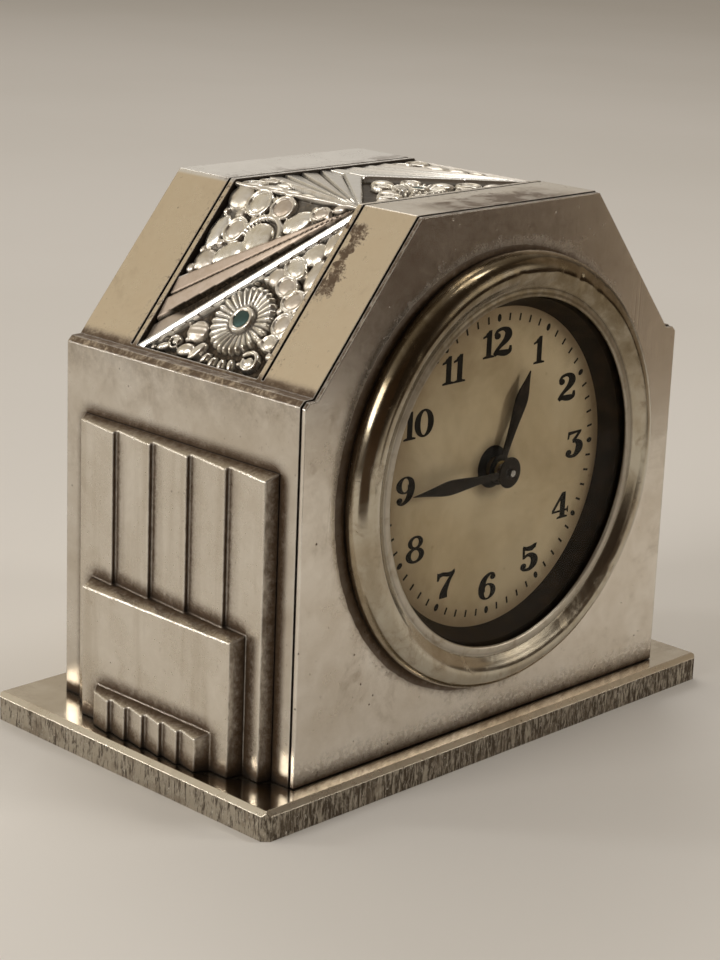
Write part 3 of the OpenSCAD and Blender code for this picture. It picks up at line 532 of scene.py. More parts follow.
for slot, make in (("ornament_silver", ornament_metal), ("base_bronze", base_metal), ("bezel_plate", bezel_metal),
                   ("dial_card", dial_paper), ("ink", ink), ("hand_black", blued), ("surround_dark", surround),
                   ("glass", glass)):
    M[slot] = make()
for slot, light, dark, rough in (("movement_brass", (0.72, 0.53, 0.24), (0.58, 0.41, 0.17), 0.32),
                                 ("back_brass", (0.58, 0.47, 0.28), (0.44, 0.34, 0.19), 0.36)):
    M[slot] = turned_brass(slot, light, dark, rough)
for slot, light, dark, rough in (("steel", (0.5, 0.5, 0.5), (0.38, 0.37, 0.36), 0.25),
                                 ("spring_steel", (0.2, 0.23, 0.3), (0.15, 0.16, 0.2), 0.22),
                                 ("screw_steel", (0.52, 0.48, 0.4), (0.36, 0.33, 0.28), 0.3)):
    M[slot] = steel(slot, light, dark, rough)

slots = {sub["node"]: sub["material_slot"] for sub in frame["record"]["subparts"]}
for name, ob in nodes.items():
    ob.data.materials.clear()
    ob.data.materials.append(M[slots[name]])


# ---------------------------------------------------------------- edges of the carried-over plates and slabs
def soften(name, width, seg, angle=28):
    """Clean the plate's triangulated faces, then round its edges by width mm."""
    ob = nodes[name]
    weld = ob.modifiers.new("weld", "WELD")
    weld.merge_threshold = 0.002 * MM
    flat = ob.modifiers.new("flat", "DECIMATE")
    flat.decimate_type = "DISSOLVE"
    flat.angle_limit = math.radians(0.4)
    b = ob.modifiers.new("round", "BEVEL")
    b.width = width * MM
    b.segments = seg
    b.limit_method = "ANGLE"
    b.angle_limit = math.radians(angle)
    b.use_clamp_overlap = True
    b.harden_normals = True
    b.miter_outer = "MITER_ARC"


for args in (("side_relief_left", 0.62, 4), ("side_relief_right", 0.62, 4), ("front_plate", 0.22, 2),
             ("case_shell", 0.22, 2), ("base_plate", 0.3, 3), ("back_plate", 0.25, 2), ("winding_key", 0.3, 3, 40)):
    soften(*args)


# ---------------------------------------------------------------- mesh helpers
def new_mesh(name, verts, faces, mat, smooth=True):
    me = bpy.data.meshes.new(name)
    me.from_pydata([tuple(v) for v in verts], [], faces)
    me.update()
    ob = bpy.data.objects.new(name, me)
    bpy.context.scene.collection.objects.link(ob)
    me.materials.append(mat)
    me.polygons.foreach_set("use_smooth", [smooth] * len(me.polygons))
    return ob


def fix_normals(ob, sharp=None):
    """Turn the faces outward; sharp is the angle in degrees past which an edge stays sharp."""
    bm = bmesh.new()
    bm.from_mesh(ob.data)
    bmesh.ops.recalc_face_normals(bm, faces=bm.faces)
    bm.to_mesh(ob.data)
    bm.free()
    if sharp:
        ob.data.set_sharp_from_angle(angle=math.radians(sharp))


def tone_attr(ob, rgb):
    """The three tone channels that ornament_metal and bezel_metal read."""
    a = ob.data.color_attributes.new("tone", "FLOAT_COLOR", "POINT")
    buf = np.ones((len(ob.data.vertices), 4), np.float32)
    buf[:, :3] = rgb
    a.data.foreach_set("color", buf.ravel())


def smooth01(x):
    x = np.clip(x, 0, 1)
    return x * x * (3 - 2 * x)


def domed(q):
    """Half-round section: 1 in the middle, 0 at q = 1."""
    return np.sqrt(np.clip(1 - q * q, 0, 1))


# ---------------------------------------------------------------- the cast ornament, as a relief over a fine grid
class Relief:
    """Heights in mm below the case face (0), plus three tone channels: deep shade, warm worn plane, polish."""

    def __init__(self, P, U, ground=-2.05):
        self.P, self.U = P, U
        self.h = np.full_like(P, ground)
        self.deep = np.full_like(P, 0.97)
        self.pink = np.zeros_like(P)
        self.polish = np.zeros_like(P)

    def put(self, mask, h, deep=0.0, pink=0.0, polish=0.0, top=True):
        if top:
            mask = mask & (h > self.h)
        self.h = np.where(mask, h, self.h)
        self.deep = np.where(mask, deep, self.deep)
        self.pink = np.where(mask, pink, self.pink)
        self.polish = np.where(mask, polish, self.polish)

    def local(self, c, rot=0.0):
        """Coordinates about c, turned by rot degrees."""
        a = math.radians(rot)
        x, y = self.P - c[0], self.U - c[1]
        return x * math.cos(a) + y * math.sin(a), -x * math.sin(a) + y * math.cos(a)

    def bud(self, c, rx, ry=None, rot=0.0, top=-0.5, low=-1.55, pink=0.0, ring=False):
        """A flattened dome; with a ring it is a dish with a raised lip, like the smallest flowers."""
        ry = ry or rx
        rx, ry = rx * 1.1, ry * 1.1
        x, y = self.local(c, rot)
        d = np.sqrt((x / rx) ** 2 + (y / ry) ** 2)
        ang = np.arctan2(y / ry, x / rx)
        if ring:
            q = (d - 0.84) / 0.16
            dome = low + (top - 0.12 - low) * np.sqrt(np.clip(1 - (d / 0.78) ** 3, 0, 1))
            self.put(d <= 0.72, dome - 0.05 * (0.5 + 0.5 * np.cos(ang * 8)) * d, 0, pink)
            self.put(np.abs(q) <= 1, low + (top - low) * (0.35 + 0.65 * domed(q)), 0, pink * 0.3)
        else:
            h = low + (top - low) * np.sqrt(np.clip(1 - np.clip(d, 0, 1) ** 2.3, 0, 1))
            h = h - 0.07 * (0.5 + 0.5 * np.cos(ang * 7)) * d
            self.put(d <= 1, h, 0, pink)

    def buds(self, *rows):
        """Rows of x, y, rx, ry, rot, pink; a seventh value makes the bud a small dish."""
        for x, y, rx, ry, rot, pink, *ring in rows:
            self.bud((x, y), rx * 1.12, ry * 1.12, rot, pink=pink, ring=ring)

    def leaf(self, c, rx, ry, rot, ribs=3, top=-0.5, low=-1.3, pink=0.2):
        x, y = self.local(c, rot)
        d = np.sqrt((x / rx) ** 2 + (y / ry) ** 2)
        h = low + (top - low) * np.sqrt(np.clip(1 - d ** 2.2, 0, 1))
        h = h - 0.16 * (0.5 + 0.5 * np.cos(y / ry * math.pi * ribs))
        self.put(d <= 1, h, 0.0, pink)

    def scroll(self, c, r, turn=0.0, top=-0.55):
        x, y = self.local(c)
        d = np.hypot(x, y)
        th = np.mod(np.arctan2(y, x) + math.radians(turn), 2 * math.pi) / (2 * math.pi)
        rr = r * (0.62 + 0.38 * th)
        q = (d - rr * 0.82) / (0.2 * r)
        self.put(np.abs(q) <= 1, top - 0.5 * (1 - domed(q)), 0)
        self.bud(c, r * 0.42, top=top - 0.1, low=-1.3)

    def rosette(self, c, r, n=28):
        """Fluted flower: a rim of n waves, a dark trough, a ring round the middle and its eye."""
        boss = 0.265 * r
        x, y = self.local(c)
        d = np.hypot(x, y)
        s = d / r
        wave = 0.5 + 0.5 * np.cos(n * np.arctan2(y, x))
        rim = r * (1 - 0.055 * (1 - wave))
        body = -1.32 + 0.62 * smooth01((s - 0.38) / 0.5)
        drop = 0.55 * smooth01((d - (rim - 0.13 * r)) / (0.13 * r))
        flute = 0.52 * (wave ** 0.6) * smooth01((s - 0.34) / 0.16)
        self.put(d <= rim, body - 0.2 + flute - drop, 0.85 * (1 - wave) ** 2.5, top=False)
        self.put((d <= r * 0.43) & (d > boss * 1.38), np.full_like(d, -1.5), 0.8, top=False)
        q = (d - boss * 1.16) / (boss * 0.24)
        self.put(np.abs(q) <= 1, -0.75 + 0.4 * domed(q), 0, 0.1, top=False)
        e = d / (boss * 0.92)
        self.put(e <= 1, -0.85 + 0.45 * domed(e), 2.0, top=False)

    def beads(self, c, r, a0, a1, n, size=0.5, top=-0.45):
        for i in range(n):
            a = math.radians(a0 + (a1 - a0) * i / (n - 1))
            self.bud((c[0] + r * math.cos(a), c[1] + r * math.sin(a)), size * 1.25, size * 0.6,
                     math.degrees(a), top=top, low=-1.2)

    def arc(self, c, r, w, a0, a1, top=-0.5):
        x, y = self.local(c)
        d = np.hypot(x, y)
        a = np.degrees(np.arctan2(y, x))
        q = (d - r) / w
        on = (np.abs(q) <= 1) & (a >= a0) & (a <= a1)
        self.put(on, top - 0.6 * (1 - domed(q)), 0, 0.1)

    def bars(self, coord, edges, span):
        """Stepped bars of a fan. coord falls across the fan; edges are (high, low, top, bottom, deep, pink, polish)."""
        for hi, lo, top, bottom, deep, pink, polish in edges:
            k = np.clip((hi - coord) / (hi - lo), 0, 1)
            on = (coord <= hi) & (coord >= lo) & span
            self.put(on, top + (bottom - top) * k, deep, pink, polish, top=False)


def slope_relief(P, U):
    """P runs to the front of the clock, U up the slope."""
    R = Relief(P, U)
    A = (18.6, 43.6)
    fan = A[1] - (A[1] - U) * (A[0] + 18.6) / np.clip(A[0] - P, 0.05, None)
    ridge = U - (21.0 + 1.09 * P)
    upper = ridge > 1.0
    R.h = np.where(upper, -1.75, R.h)
    R.deep = np.where(upper, 0.8, R.deep)
    # rear upper triangle: buds round a half flower
    R.buds((-15.4, 40.6, 3, 2.7, 0, 0.2), (-8.9, 40, 3, 3, 0, 0, 1), (-1.7, 39.9, 2.9, 2.6, 0, 0.75, 1),
           (4.3, 37.4, 3.3, 2.2, 40, 0), (9.6, 40.3, 2.2, 1.5, 20, 0.6, 1), (-16.4, 31.4, 2, 3.7, 0, 0),
           (-11.3, 32.6, 2.6, 2.8, 0, 0.25, 1), (-9.6, 27.2, 3.7, 2.1, 36, 0), (-15.1, 24.2, 2.5, 2.4, 0, 0.35),
           (13.6, 42.2, 1.6, 0.9, 15, 0.4), (-17.6, 21.6, 1.2, 1.2, 0, 0.3), (-12.6, 36.6, 1.3, 1.3, 0, 0.2))
    for x, y, r in ((-5, 41.6, 0.9), (-12, 38.6, 0.9), (1.6, 36.9, 1.1), (7.2, 40.9, 1.1), (-13.6, 29, 1.1),
                    (-12.7, 22.2, 1), (-8.2, 35.8, 1), (5.6, 34.2, 1.2), (11.8, 40, 0.9), (-17.4, 26.6, 1.1),
                    (-5.6, 28.2, 1.2), (-17.2, 36.6, 1), (1.9, 31, 0.9), (14.4, 26, 0.9), (8.9, 29.2, 1.1),
                    (9.6, 21.3, 0.8), (13.3, 16.9, 1), (17.6, 22.6, 1), (17.7, 17, 0.9), (17.5, 11.4, 1),
                    (12.9, 9.2, 1), (17.3, 6.6, 1.1), (-8.9, 9.6, 0.9), (-13.4, 5, 0.9), (-15, 1.9, 0.8),
                    (-3.4, 1.9, 0.8), (5, 23.2, 0.9), (2.6, 21.9, 0.7), (10.6, 3.2, 0.7), (-6.8, 5.6, 0.7),
                    (14.6, 35.6, 0.9), (15.9, 40.6, 0.8), (11.6, 29.9, 0.8)):
        R.bud((x, y), r, r * 0.85, (x * 37) % 90, pink=0.25, top=-0.75)
    R.arc((-3.4, 32.0), 5.2, 0.75, 5, 178)
    R.beads((-3.4, 32.0), 5.2, 100, 178, 8, 0.75)
    R.bud((-4.0, 32.0), 3.6, 3.5, top=-0.35, low=-1.3)
    # front lower triangle: the big rosette and its leaves
    R.buds((13.9, 31.2, 2.5, 2.5, 0, 0.1), (17, 34.3, 1.6, 2.5, 0, 0.3), (11.2, 27, 3.1, 2.1, -28, 0, 1),
           (17, 26.3, 1.8, 3.2, 0, 0.25), (7.5, 24.2, 2.1, 2, 0, 0.4), (11.7, 22.4, 2.7, 2.2, -20, 0.55, 1),
           (15.4, 19.6, 2.6, 2.4, 0, 0.55, 1), (16.1, 14, 2.2, 2.5, 0, 0.45, 1), (15.6, 9.3, 1.9, 1.7, 0, 0.2, 1),
           (17.4, 38, 1, 1.9, 0, 0.2), (-5.9, 3.2, 2, 1.4, 20, 0.2), (-12.3, 2.6, 1.6, 0.9, 30, 0.1))
    R.leaf((-5.4, 8.0), 3.0, 2.6, 8, 3, pink=0.45)
    R.leaf((-2.4, 3.6), 2.6, 1.3, 62, 2)
    R.scroll((-9.7, 4.4), 2.0, 40)
    R.scroll((13.0, 4.2), 2.9, 200)
    for x, y in [(0.9, 2.5), (3.3, 1.9), (6.0, 1.9), (8.6, 2.4)]:
        R.bud((x, y), 0.75, 1.5, (x - 4.8) * 5, top=-0.5, low=-1.3)
    R.rosette((4.8, 12.9), 8.35)
    # the fan and its bright ridge
    R.bars(fan, [
        (19.0, 14.25, -0.3, -0.75, 0.0, 1.0, 0), (14.25, 13.65, -1.5, -1.5, 0.95, 0, 0),
        (13.65, 8.2, -0.45, -0.95, 0.0, 0.95, 0), (8.2, 7.2, -1.9, -1.9, 1.0, 0, 0),
        (7.2, -60, -1.25, -1.25, 0.0, 0.85, 0)], upper & (P < 18.5))
    shade = smooth01((P + 14.0 + (fan - 5) * 0.9) / 1.6)
    zone = upper & (fan < 8.9) & (fan > -60)
    R.deep = np.where(zone, np.maximum(R.deep, 0.96 * shade), R.deep)
    R.h = np.where(zone & (fan < 8.2), R.h - 0.35 * shade, R.h)
    tip = (np.abs(fan - 18.7) < 0.35) & upper & (P < -16.5)
    R.polish = np.where(tip, 0.9, R.polish)
    t = np.clip((0.75 - ridge) / 2.35, 0, 1)
    facet = (ridge <= 1.05) & (ridge >= -1.6)
    R.put(facet, -0.1 - 0.62 * t - 1.2 * np.clip((ridge - 0.75) / 0.3, 0, 1), 0, 0, 1.0, top=False)
    R.put((ridge < -1.6) & (ridge > -1.95), np.minimum(R.h, -1.8), 0.85, 0, 0, top=False)
    # a narrow plain border at the ridge with the roof
    R.put(U > 43.0, np.full_like(P, -0.42), 0.15, 0.3, 0.3)
    return R


def roof_relief(X, V):
    """X to the right, V to the back; the left half is drawn and mirrored."""
    XL = -np.abs(X)
    R = Relief(XL, V)
    A = (-28.2, -18.7)
    fan = A[0] + (XL - A[0]) * 37.2 / np.clip(V - A[1], 0.05, None)
    R.buds((-25.6, 15.4, 2.6, 2.4, 0, 0.1, 1), (-25.8, 9.4, 2.3, 3, 0, 0.2), (-20.8, 15.6, 2.1, 2.3, 0, 0.4, 1),
           (-26.4, 3.2, 1.7, 2.6, 0, 0.2), (-22, 10, 1.7, 2.2, -20, 0), (-27, -2.4, 1.1, 2.2, 0, 0.2))
    R.buds((-12.6, -12.6, 2.4, 2.4, 0, 0.1, 1), (-8.6, -8.4, 2.3, 1.9, 40, 0.2), (-17.4, -15.6, 2.2, 1.6, 20, 0.3),
           (-7.4, -16.2, 2, 1.7, 0, 0.4, 1), (-4.4, -2.8, 2, 2.2, 30, 0.1, 1), (0, 1.6, 2, 2.3, 0, 0),
           (-12.2, -16.9, 2, 1.3, 0, 0.2), (-21.6, -17.2, 1.9, 1, 10, 0.2), (-2.6, -17, 1.6, 1.3, 0, 0.2))
    R.rosette((0, -9.4), 6.4, 24)
    band = V > (8.0 + (XL) * 0.985)
    R.bars(-fan, [
        (18.6, 14.2, -0.35, -0.8, 0.0, 0.35, 0.25), (14.2, 13.5, -1.6, -1.6, 0.95, 0, 0),
        (13.5, 9.0, -0.35, -0.85, 0.0, 0.15, 0.55), (9.0, 8.3, -1.6, -1.6, 0.9, 0, 0),
        (8.3, 3.2, -0.35, -0.8, 0.0, 0.3, 0.3), (3.2, 2.5, -1.6, -1.6, 0.9, 0, 0),
        (2.5, -3.4, -0.3, -0.8, 0.0, 0.1, 0.6), (-3.4, -4.1, -1.6, -1.6, 0.9, 0, 0),
        (-4.1, -60, -0.25, -0.7, 0.0, 0.15, 0.75)], band)
    edge = V - (8.0 + XL * 0.985)
    R.put((edge < 0) & (edge > -0.55), np.minimum(R.h, -1.85), 0.95, 0, 0, top=False)
    mid = (np.abs(X) < 0.3) & band
    R.put(mid, np.full_like(X, -1.3), 0.8, 0, 0, top=False)
    return R


def strip(name, to_world, a0, a1, ends, relief, step=0.2):
    """Closed relief block. a runs along the strip, b across; ends are the undercuts of the two short sides."""
    na = int((a1 - a0) / step)
    nb = int(2 * CH / step)
    a = np.linspace(a0, a1, na + 1)
    b = np.linspace(-CH, CH, nb + 1)
    Aa, Bb = np.meshgrid(a, b, indexing="ij")
    R = relief(Aa, Bb)
    soft = R.h.copy()
    for _ in range(2):
        p = np.pad(soft, 1, mode="edge")
        soft = (p[:-2, 1:-1] + p[2:, 1:-1] + p[1:-1, :-2] + p[1:-1, 2:] + 4 * p[1:-1, 1:-1]) / 8
    h = 0.35 * R.h + 0.65 * soft
    pts = to_world(Aa, Bb, h)
    n = (na + 1) * (nb + 1)
    idx = np.arange(n).reshape(na + 1, nb + 1)
    verts = list(pts.reshape(-1, 3))
    faces = [(idx[i, j], idx[i + 1, j], idx[i + 1, j + 1], idx[i, j + 1]) for i in range(na) for j in range(nb)]
    loop = ([idx[i, 0] for i in range(na)] + [idx[na, j] for j in range(nb)] +
            [idx[i, nb] for i in range(na, 0, -1)] + [idx[0, j] for j in range(nb, 0, -1)])
    flat_a, flat_b = Aa.ravel(), Bb.ravel()
    low = []
    for k in loop:
        aa = flat_a[k]
        if aa == a[0]:
            aa += ends[0]
        elif aa == a[-1]:
            aa -= ends[1]
        low.append(len(verts))
        verts.append(to_world(np.array(aa), np.array(flat_b[k]), np.array(-2.55)))
    m = len(loop)
    faces += [(loop[i], low[i], low[(i + 1) % m], loop[(i + 1) % m]) for i in range(m)]
    faces.append(tuple(reversed(low)))
    verts = np.array(verts) * MM
    ob = new_mesh(name, verts, [tuple(int(q) for q in f) for f in faces], M["ornament_silver"])
    rgb = np.zeros((len(verts), 3), np.float32)
    rgb[:n, 0], rgb[:n, 1], rgb[:n, 2] = R.deep.ravel(), R.pink.ravel(), R.polish.ravel()
    rgb[n:, 0] = 0.9
    tone_attr(ob, rgb)
    return ob


def slope_world(side):
    """World mm of a point u up the slope, v to the back and w out of it; side is 1 on the left."""
    def place(u, v, w):
        x = -SLOPE_X + u * math.cos(SLOPE_A) - w * math.sin(SLOPE_A)
        z = SHOULDER + u * math.sin(SLOPE_A) + w * math.cos(SLOPE_A)
        return np.stack([side * x, YC + v + 0 * u, z], -1)
    return place


def roof_world(x, v, w):
    return np.stack([x + 0 * v, YC + v + 0 * x, ROOF_Z + w + 0 * x], -1)


mitre = math.tan(SLOPE_A / 2)
top_u = SLOPE_L - 0.12 - 0.4 * mitre
top_x = ROOF_HALF - 0.12 - 0.4 * mitre
undercut = 2.1 * mitre
for name, to_world, a0, a1, ends, relief in (
        ("ornament_left", slope_world(1), 1.1, top_u, (0, undercut), lambda u, v: slope_relief(-v, u)),
        ("ornament_right", slope_world(-1), 1.1, top_u, (0, undercut), lambda u, v: slope_relief(-v, u)),
        ("ornament_roof", roof_world, -top_x, top_x, (undercut, undercut), roof_relief)):
    ob = strip(name + "_cast", to_world, a0, a1, ends, relief)
    fix_normals(ob, 50)
    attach(ob, "case")
    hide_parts(name)


# ---------------------------------------------------------------- the bezel
def revolve(name, profile, mat, seg, shift=None):
    """profile: (radius, distance in front of the face) in mm, in order round the section."""
    pr = np.array(profile, float)
    k = len(pr)
    verts, faces = [], []
    for i in range(seg):
        th = 2 * math.pi * i / seg
        r, f = shift(th, *pr.T) if shift else pr.T
        verts += [(a * math.sin(th) * MM, (YF - b) * MM, (ZD + a * math.cos(th)) * MM) for a, b in zip(r, f)]
        j = (i + 1) % seg
        faces += [(i * k + q, i * k + (q + 1) % k, j * k + (q + 1) % k, j * k + q) for q in range(k)]
    return new_mesh(name, verts, faces, mat)


def catmull(pts, n):
    """Smooth curve through the points, n steps from each to the next."""
    pts = [np.array(p, float) for p in pts]
    out = []
    for i in range(len(pts) - 1):
        p0, p1, p2, p3 = pts[max(i - 1, 0)], pts[i], pts[i + 1], pts[min(i + 2, len(pts) - 1)]
        for s in range(n):
            t = s / n
            out.append(0.5 * ((2 * p1) + (-p0 + p2) * t + (2 * p0 - 5 * p1 + 4 * p2 - p3) * t * t
                              + (-p0 + 3 * p1 - 3 * p2 + p3) * t ** 3))
    return out + [pts[-1]]


bead = catmull([(47.75, 0.02), (48.2, 0.9), (48.3, 2.2), (47.7, 3.9), (46.5, 5.1), (44.8, 5.72), (43.2, 5.45),
                (41.9, 4.75), (41.05, 4.28)], 6)
lip = [(40.75, 4.12), (40.35, 4.13), (39.9, 4.24), (39.3, 4.3), (38.85, 4.24), (38.62, 4.05), (38.6, 3.7),
       (38.75, 3.5)]
profile = [tuple(p) for p in bead] + lip + [(41.0, 3.45), (41.0, 0.02)]
BEZEL_SEG = 720


def dents(th, r, f):
    """A slight waviness all round, and dents given by place, half widths and depth."""
    deg = math.degrees(th)
    wob = 0.05 * math.sin(3 * th + 1) + 0.04 * math.sin(7 * th + 2) + 0.025 * math.sin(17 * th)
    on = np.clip((f - 2.5) / 2, 0, 1) * np.clip((r - 41) / 1, 0, 1)
    d = wob * on
    for c, rc, wd, lr, depth in ((22, 44.9, 1.1, 2.2, 0.2), (19.6, 43.5, 1.6, 2.0, -0.08), (-3.5, 43.2, 1.4, 1.6, 0.16),
                                 (12, 42.6, 2.4, 1.4, 0.22), (31, 45.5, 2.0, 2.0, 0.16), (36, 46.2, 3.0, 1.2, 0.2),
                                 (-82, 45, 2.5, 3.0, 0.1), (130, 45, 3, 3, 0.12)):
        g = math.exp(-(((deg - c + 180) % 360 - 180) / wd) ** 2)
        if g > 1e-4:
            d = d - depth * g * np.exp(-((r - rc) / lr) ** 2) * on
    return r, f + d


bez = revolve("bezel_ring", profile, M["bezel_plate"], BEZEL_SEG, dents)
nb, nl = len(bead), len(lip)
# dark crease where the ring meets the plate, satin lip, dark again where it meets the surround
tone_row = np.zeros((len(profile), 3), np.float32)
tone_row[0, 0] = 0.9
tone_row[1, 0] = 0.35
tone_row[nb:nb + 2, 0] = 0.25
tone_row[nb + 1:nb + nl, 1] = 1.0
tone_row[nb + nl - 2:, 0] = 0.9
tone_attr(bez, np.tile(tone_row, (BEZEL_SEG, 1)))
fix_normals(bez, 55)
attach(bez, "case")
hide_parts("bezel")


# ---------------------------------------------------------------- figures and minute marks on the dial
def ribbon(points, n=7):
    """Closed outline of a stroke: points are (x, y, width)."""
    c = np.array(catmull(points, n))
    xy, w = c[:, :2], np.abs(c[:, 2]) / 2 + 0.016
    t = np.gradient(xy, axis=0)
    t /= np.linalg.norm(t, axis=1)[:, None] + 1e-9
    nrm = np.stack([-t[:, 1], t[:, 0]], 1)
    return xy + nrm * w[:, None], xy - nrm * w[:, None]


def disc(c, rx, ry, n=28):
    """Outline of an ellipse."""
    return [(c[0] + rx * math.cos(2 * math.pi * i / n), c[1] + ry * math.sin(2 * math.pi * i / n)) for i in range(n)]


# Outlines of the figures in hundredths of their height: poly x,y..; line x,y,width..; disc and ring centre, radii.
GLYPH = {
    "0": "ring 0,50 34.5,50 13.5,42",
    "1": "poly -13,5 13,5 13,100 -2,100 -13,90;"
         "poly -13,93 -20,84 -33,79 -33,72 -13,76;"
         "poly -30,0 30,0 30,6 13,10 -13,10 -30,6",
    "2": "disc -20,73 11.5,11.5;"
         "line -29,76,7 -20,92,8 0,97,10 17,88,20 21,71,25 11,53,19 -6,37,12 -22,21,8 -30,8,7;"
         "line -30,6,10 -18,13,14 0,10,19 16,9,19 29,14,12 31,32,5",
    "3": "poly -26,100 28,100 28,93 -19,87 -22,72 -28,72;"
         "line 24,96,7 10,78,8 -4,62,9;"
         "line -6,60,7 8,60,12 21,48,23 22,30,26 10,10,16 -4,4,9 -20,8,8 -29,18,7;"
         "disc -20,20 11.5,11.5",
    "4": "poly 0,5 24,5 24,100 12,100 0,90;"
         "poly -13,0 37,0 37,6 24,10 0,10 -13,6;"
         "line 12,97,8 -10,66,8 -34,32,8;"
         "poly -38,25 32,25 37,17 40,17 40,42 37,42 32,33 -38,33",
    "5": "poly -25,99 -10,93 8,95 20,100 30,100 26,84 12,74 -6,76 -22,82;"
         "line -22,95,6 -21,70,6 -20,48,6;"
         "line -20,52,6 -6,60,9 10,57,16 22,42,24 21,22,24 8,7,14 -6,4,8 -20,8,8 -29,18,7;"
         "disc -20,20 11.5,11.5",
    "6": "ring 1,31 32.5,31 12.5,24.5;"
         "line -20,30,22 -21,52,22 -14,76,19 -2,91,12 12,97,7 25,90,7;"
         "disc 20,83 10.5,10.5",
    "7": "poly -33,100 -27,96 -12,98 6,93 20,93 32,100 33,86 22,76 5,77 -12,83 -22,80 -27,68 -33,68;"
         "line 28,90,9 14,66,10 2,42,17 -6,20,24 -7,0,27",
    "8": "ring 0,75.5 27.5,24.5 12,16.5;"
         "ring 0,28.5 33.5,28.5 14.5,19.5",
    "9": "ring -1,69 32.5,31 12.5,24.5;"
         "line 20,70,22 21,48,22 14,24,19 2,9,12 -12,3,7 -25,10,7;"
         "disc -20,17 10.5,10.5",
}


FIG_R, FIG_H = 27.6, 6.1                  # radius and height of the figures
TURN, DX, DY = -0.8, -0.25, 0.4           # the card sits a little askew, and high
DOT_R, TICK = 33.0, (32.2, 33.8, 0.24)    # five-minute dots; the other ticks' two radii and half width


class Print:
    """Thin raised ink, all in the dial plane; x right, y up from the dial centre, mm."""

    def __init__(self):
        self.v, self.f, self.k = [], [], 0

    def levels(self):
        """Front and back of the next piece of ink; neighbours differ a little so that no two faces coincide."""
        front = DIAL_Y - 0.05 - 0.0012 * (self.k % 12)
        self.k += 1
        return front, DIAL_Y - 0.012

    def ring(self, outline, y):
        self.v += [(x, y, ZD + z) for x, z in outline]
        return len(self.v) - len(outline)

    def wall(self, a, b, n):
        self.f += [(a + i, a + (i + 1) % n, b + (i + 1) % n, b + i) for i in range(n)]

    def slab(self, outline, hole=None):
        front, back = self.levels()
        n = len(outline)
        if hole is None:
            a, b = self.ring(outline, front), self.ring(outline, back)
            self.f += [tuple(range(a, b)), tuple(reversed(range(b, b + n)))]
            self.wall(a, b, n)
        else:
            rows = ((outline, front), (hole, front), (hole, back), (outline, back))
            starts = [self.ring(*row) for row in rows]
            for a, b in zip(starts, starts[1:] + starts[:1]):
                self.wall(a, b, n)

    def stroke(self, left, right):
        front, back = self.levels()
        outline = left + right[::-1]
        n, last = len(left), len(outline) - 1
        a, b = self.ring(outline, front), self.ring(outline, back)
        for i in range(n - 1):
            self.f.append((a + i, a + i + 1, a + last - 1 - i, a + last - i))
            self.f.append((b + i, b + last - i, b + last - 1 - i, b + i + 1))
        self.wall(a, b, last + 1)

    def digit(self, ch, cx, cy):
        wide = {"1": 1.0, "4": 1.2}.get(ch, 1.4)

        def put(points):
            return [(cx + x * FIG_H * wide, cy + (y - 0.5) * FIG_H) for x, y in points]
        for part in GLYPH[ch].split(";"):
            kind, *words = part.split()
            p = [tuple(float(v) / 100 for v in word.split(",")) for word in words]
            if kind == "line":
                self.stroke(*(put(side) for side in ribbon(p)))
            elif kind == "poly":
                self.slab(put(p))
            elif kind == "disc":
                self.slab(put(disc(p[0], *p[1])))
            else:
                self.slab(put(disc(p[0], *p[1], 48)), put(disc(p[0], *p[2], 48)))


pr = Print()
for hour in range(1, 13):
    a = math.radians(hour * 30 + TURN)
    cx, cy = FIG_R * math.sin(a) + DX, FIG_R * math.cos(a) + DY
    offsets = (0,) if hour < 10 else (-1.75, 1.75) if hour == 11 else (-3.0, 1.35)
    for ch, dx in zip(str(hour), offsets):
        pr.digit(ch, cx + dx, cy)
for m in range(60):
    a = math.radians(m * 6 + TURN)
    s, c = math.sin(a), math.cos(a)
    o = len(pr.v)
    if m % 5 == 0:
        pr.slab([(s * (DOT_R + v) + c * u, c * (DOT_R + v) - s * u) for v, u in disc((0, 0), 0.85, 0.6, 20)])
    else:
        r0, r1, w = TICK
        pr.slab([(s * r + c * u, c * r - s * u) for r, u in ((r0, -w), (r1, -w), (r1, w), (r0, w))])
    pr.v[o:] = [(x + DX, y, z + DY) for x, y, z in pr.v[o:]]
pr.slab(disc((-0.35, 0.4), 4.75, 4.75, 64), disc((0, 0), 2.5, 2.5, 64))     # dark washer under the hands, set off-centre up and to the left so that it also stands for the hubs' painted shadow
dial_print = new_mesh("dial_print", np.array(pr.v) * MM, pr.f, M["ink"], smooth=False)
fix_normals(dial_print)
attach(dial_print, "case")


# ---------------------------------------------------------------- hands
def blade(name, angle, prof, y_mid):
    """Lance blade along +Z then turned clockwise by angle; prof is (distance, half width)."""
    thick, ridge = 0.13, 0.1
    stations = catmull(prof, 5)
    a = math.radians(angle)
    out = []
    for s, w in stations:
        w = max(w, 0.02)
        k = min(1.0, w / 1.2)
        for q, d in ((-1, 0), (-0.92, thick), (-0.45, thick + ridge * 0.45 * k), (0, thick + ridge * k),
                     (0.45, thick + ridge * 0.45 * k), (0.92, thick), (1, 0), (0.92, -thick), (-0.92, -thick)):
            x = w * q
            out.append(((x * math.cos(a) + s * math.sin(a)) * MM, (y_mid - d) * MM,
                        (ZD - x * math.sin(a) + s * math.cos(a)) * MM))
    k, n = 9, len(stations)
    faces = [(i * k + q, i * k + (q + 1) % k, (i + 1) * k + (q + 1) % k, (i + 1) * k + q)
             for i in range(n - 1) for q in range(k)]
    faces += [tuple(range(k)), tuple(reversed(range((n - 1) * k, n * k)))]
    ob = new_mesh(name, out, faces, M["hand_black"])
    fix_normals(ob, 24)
    return ob


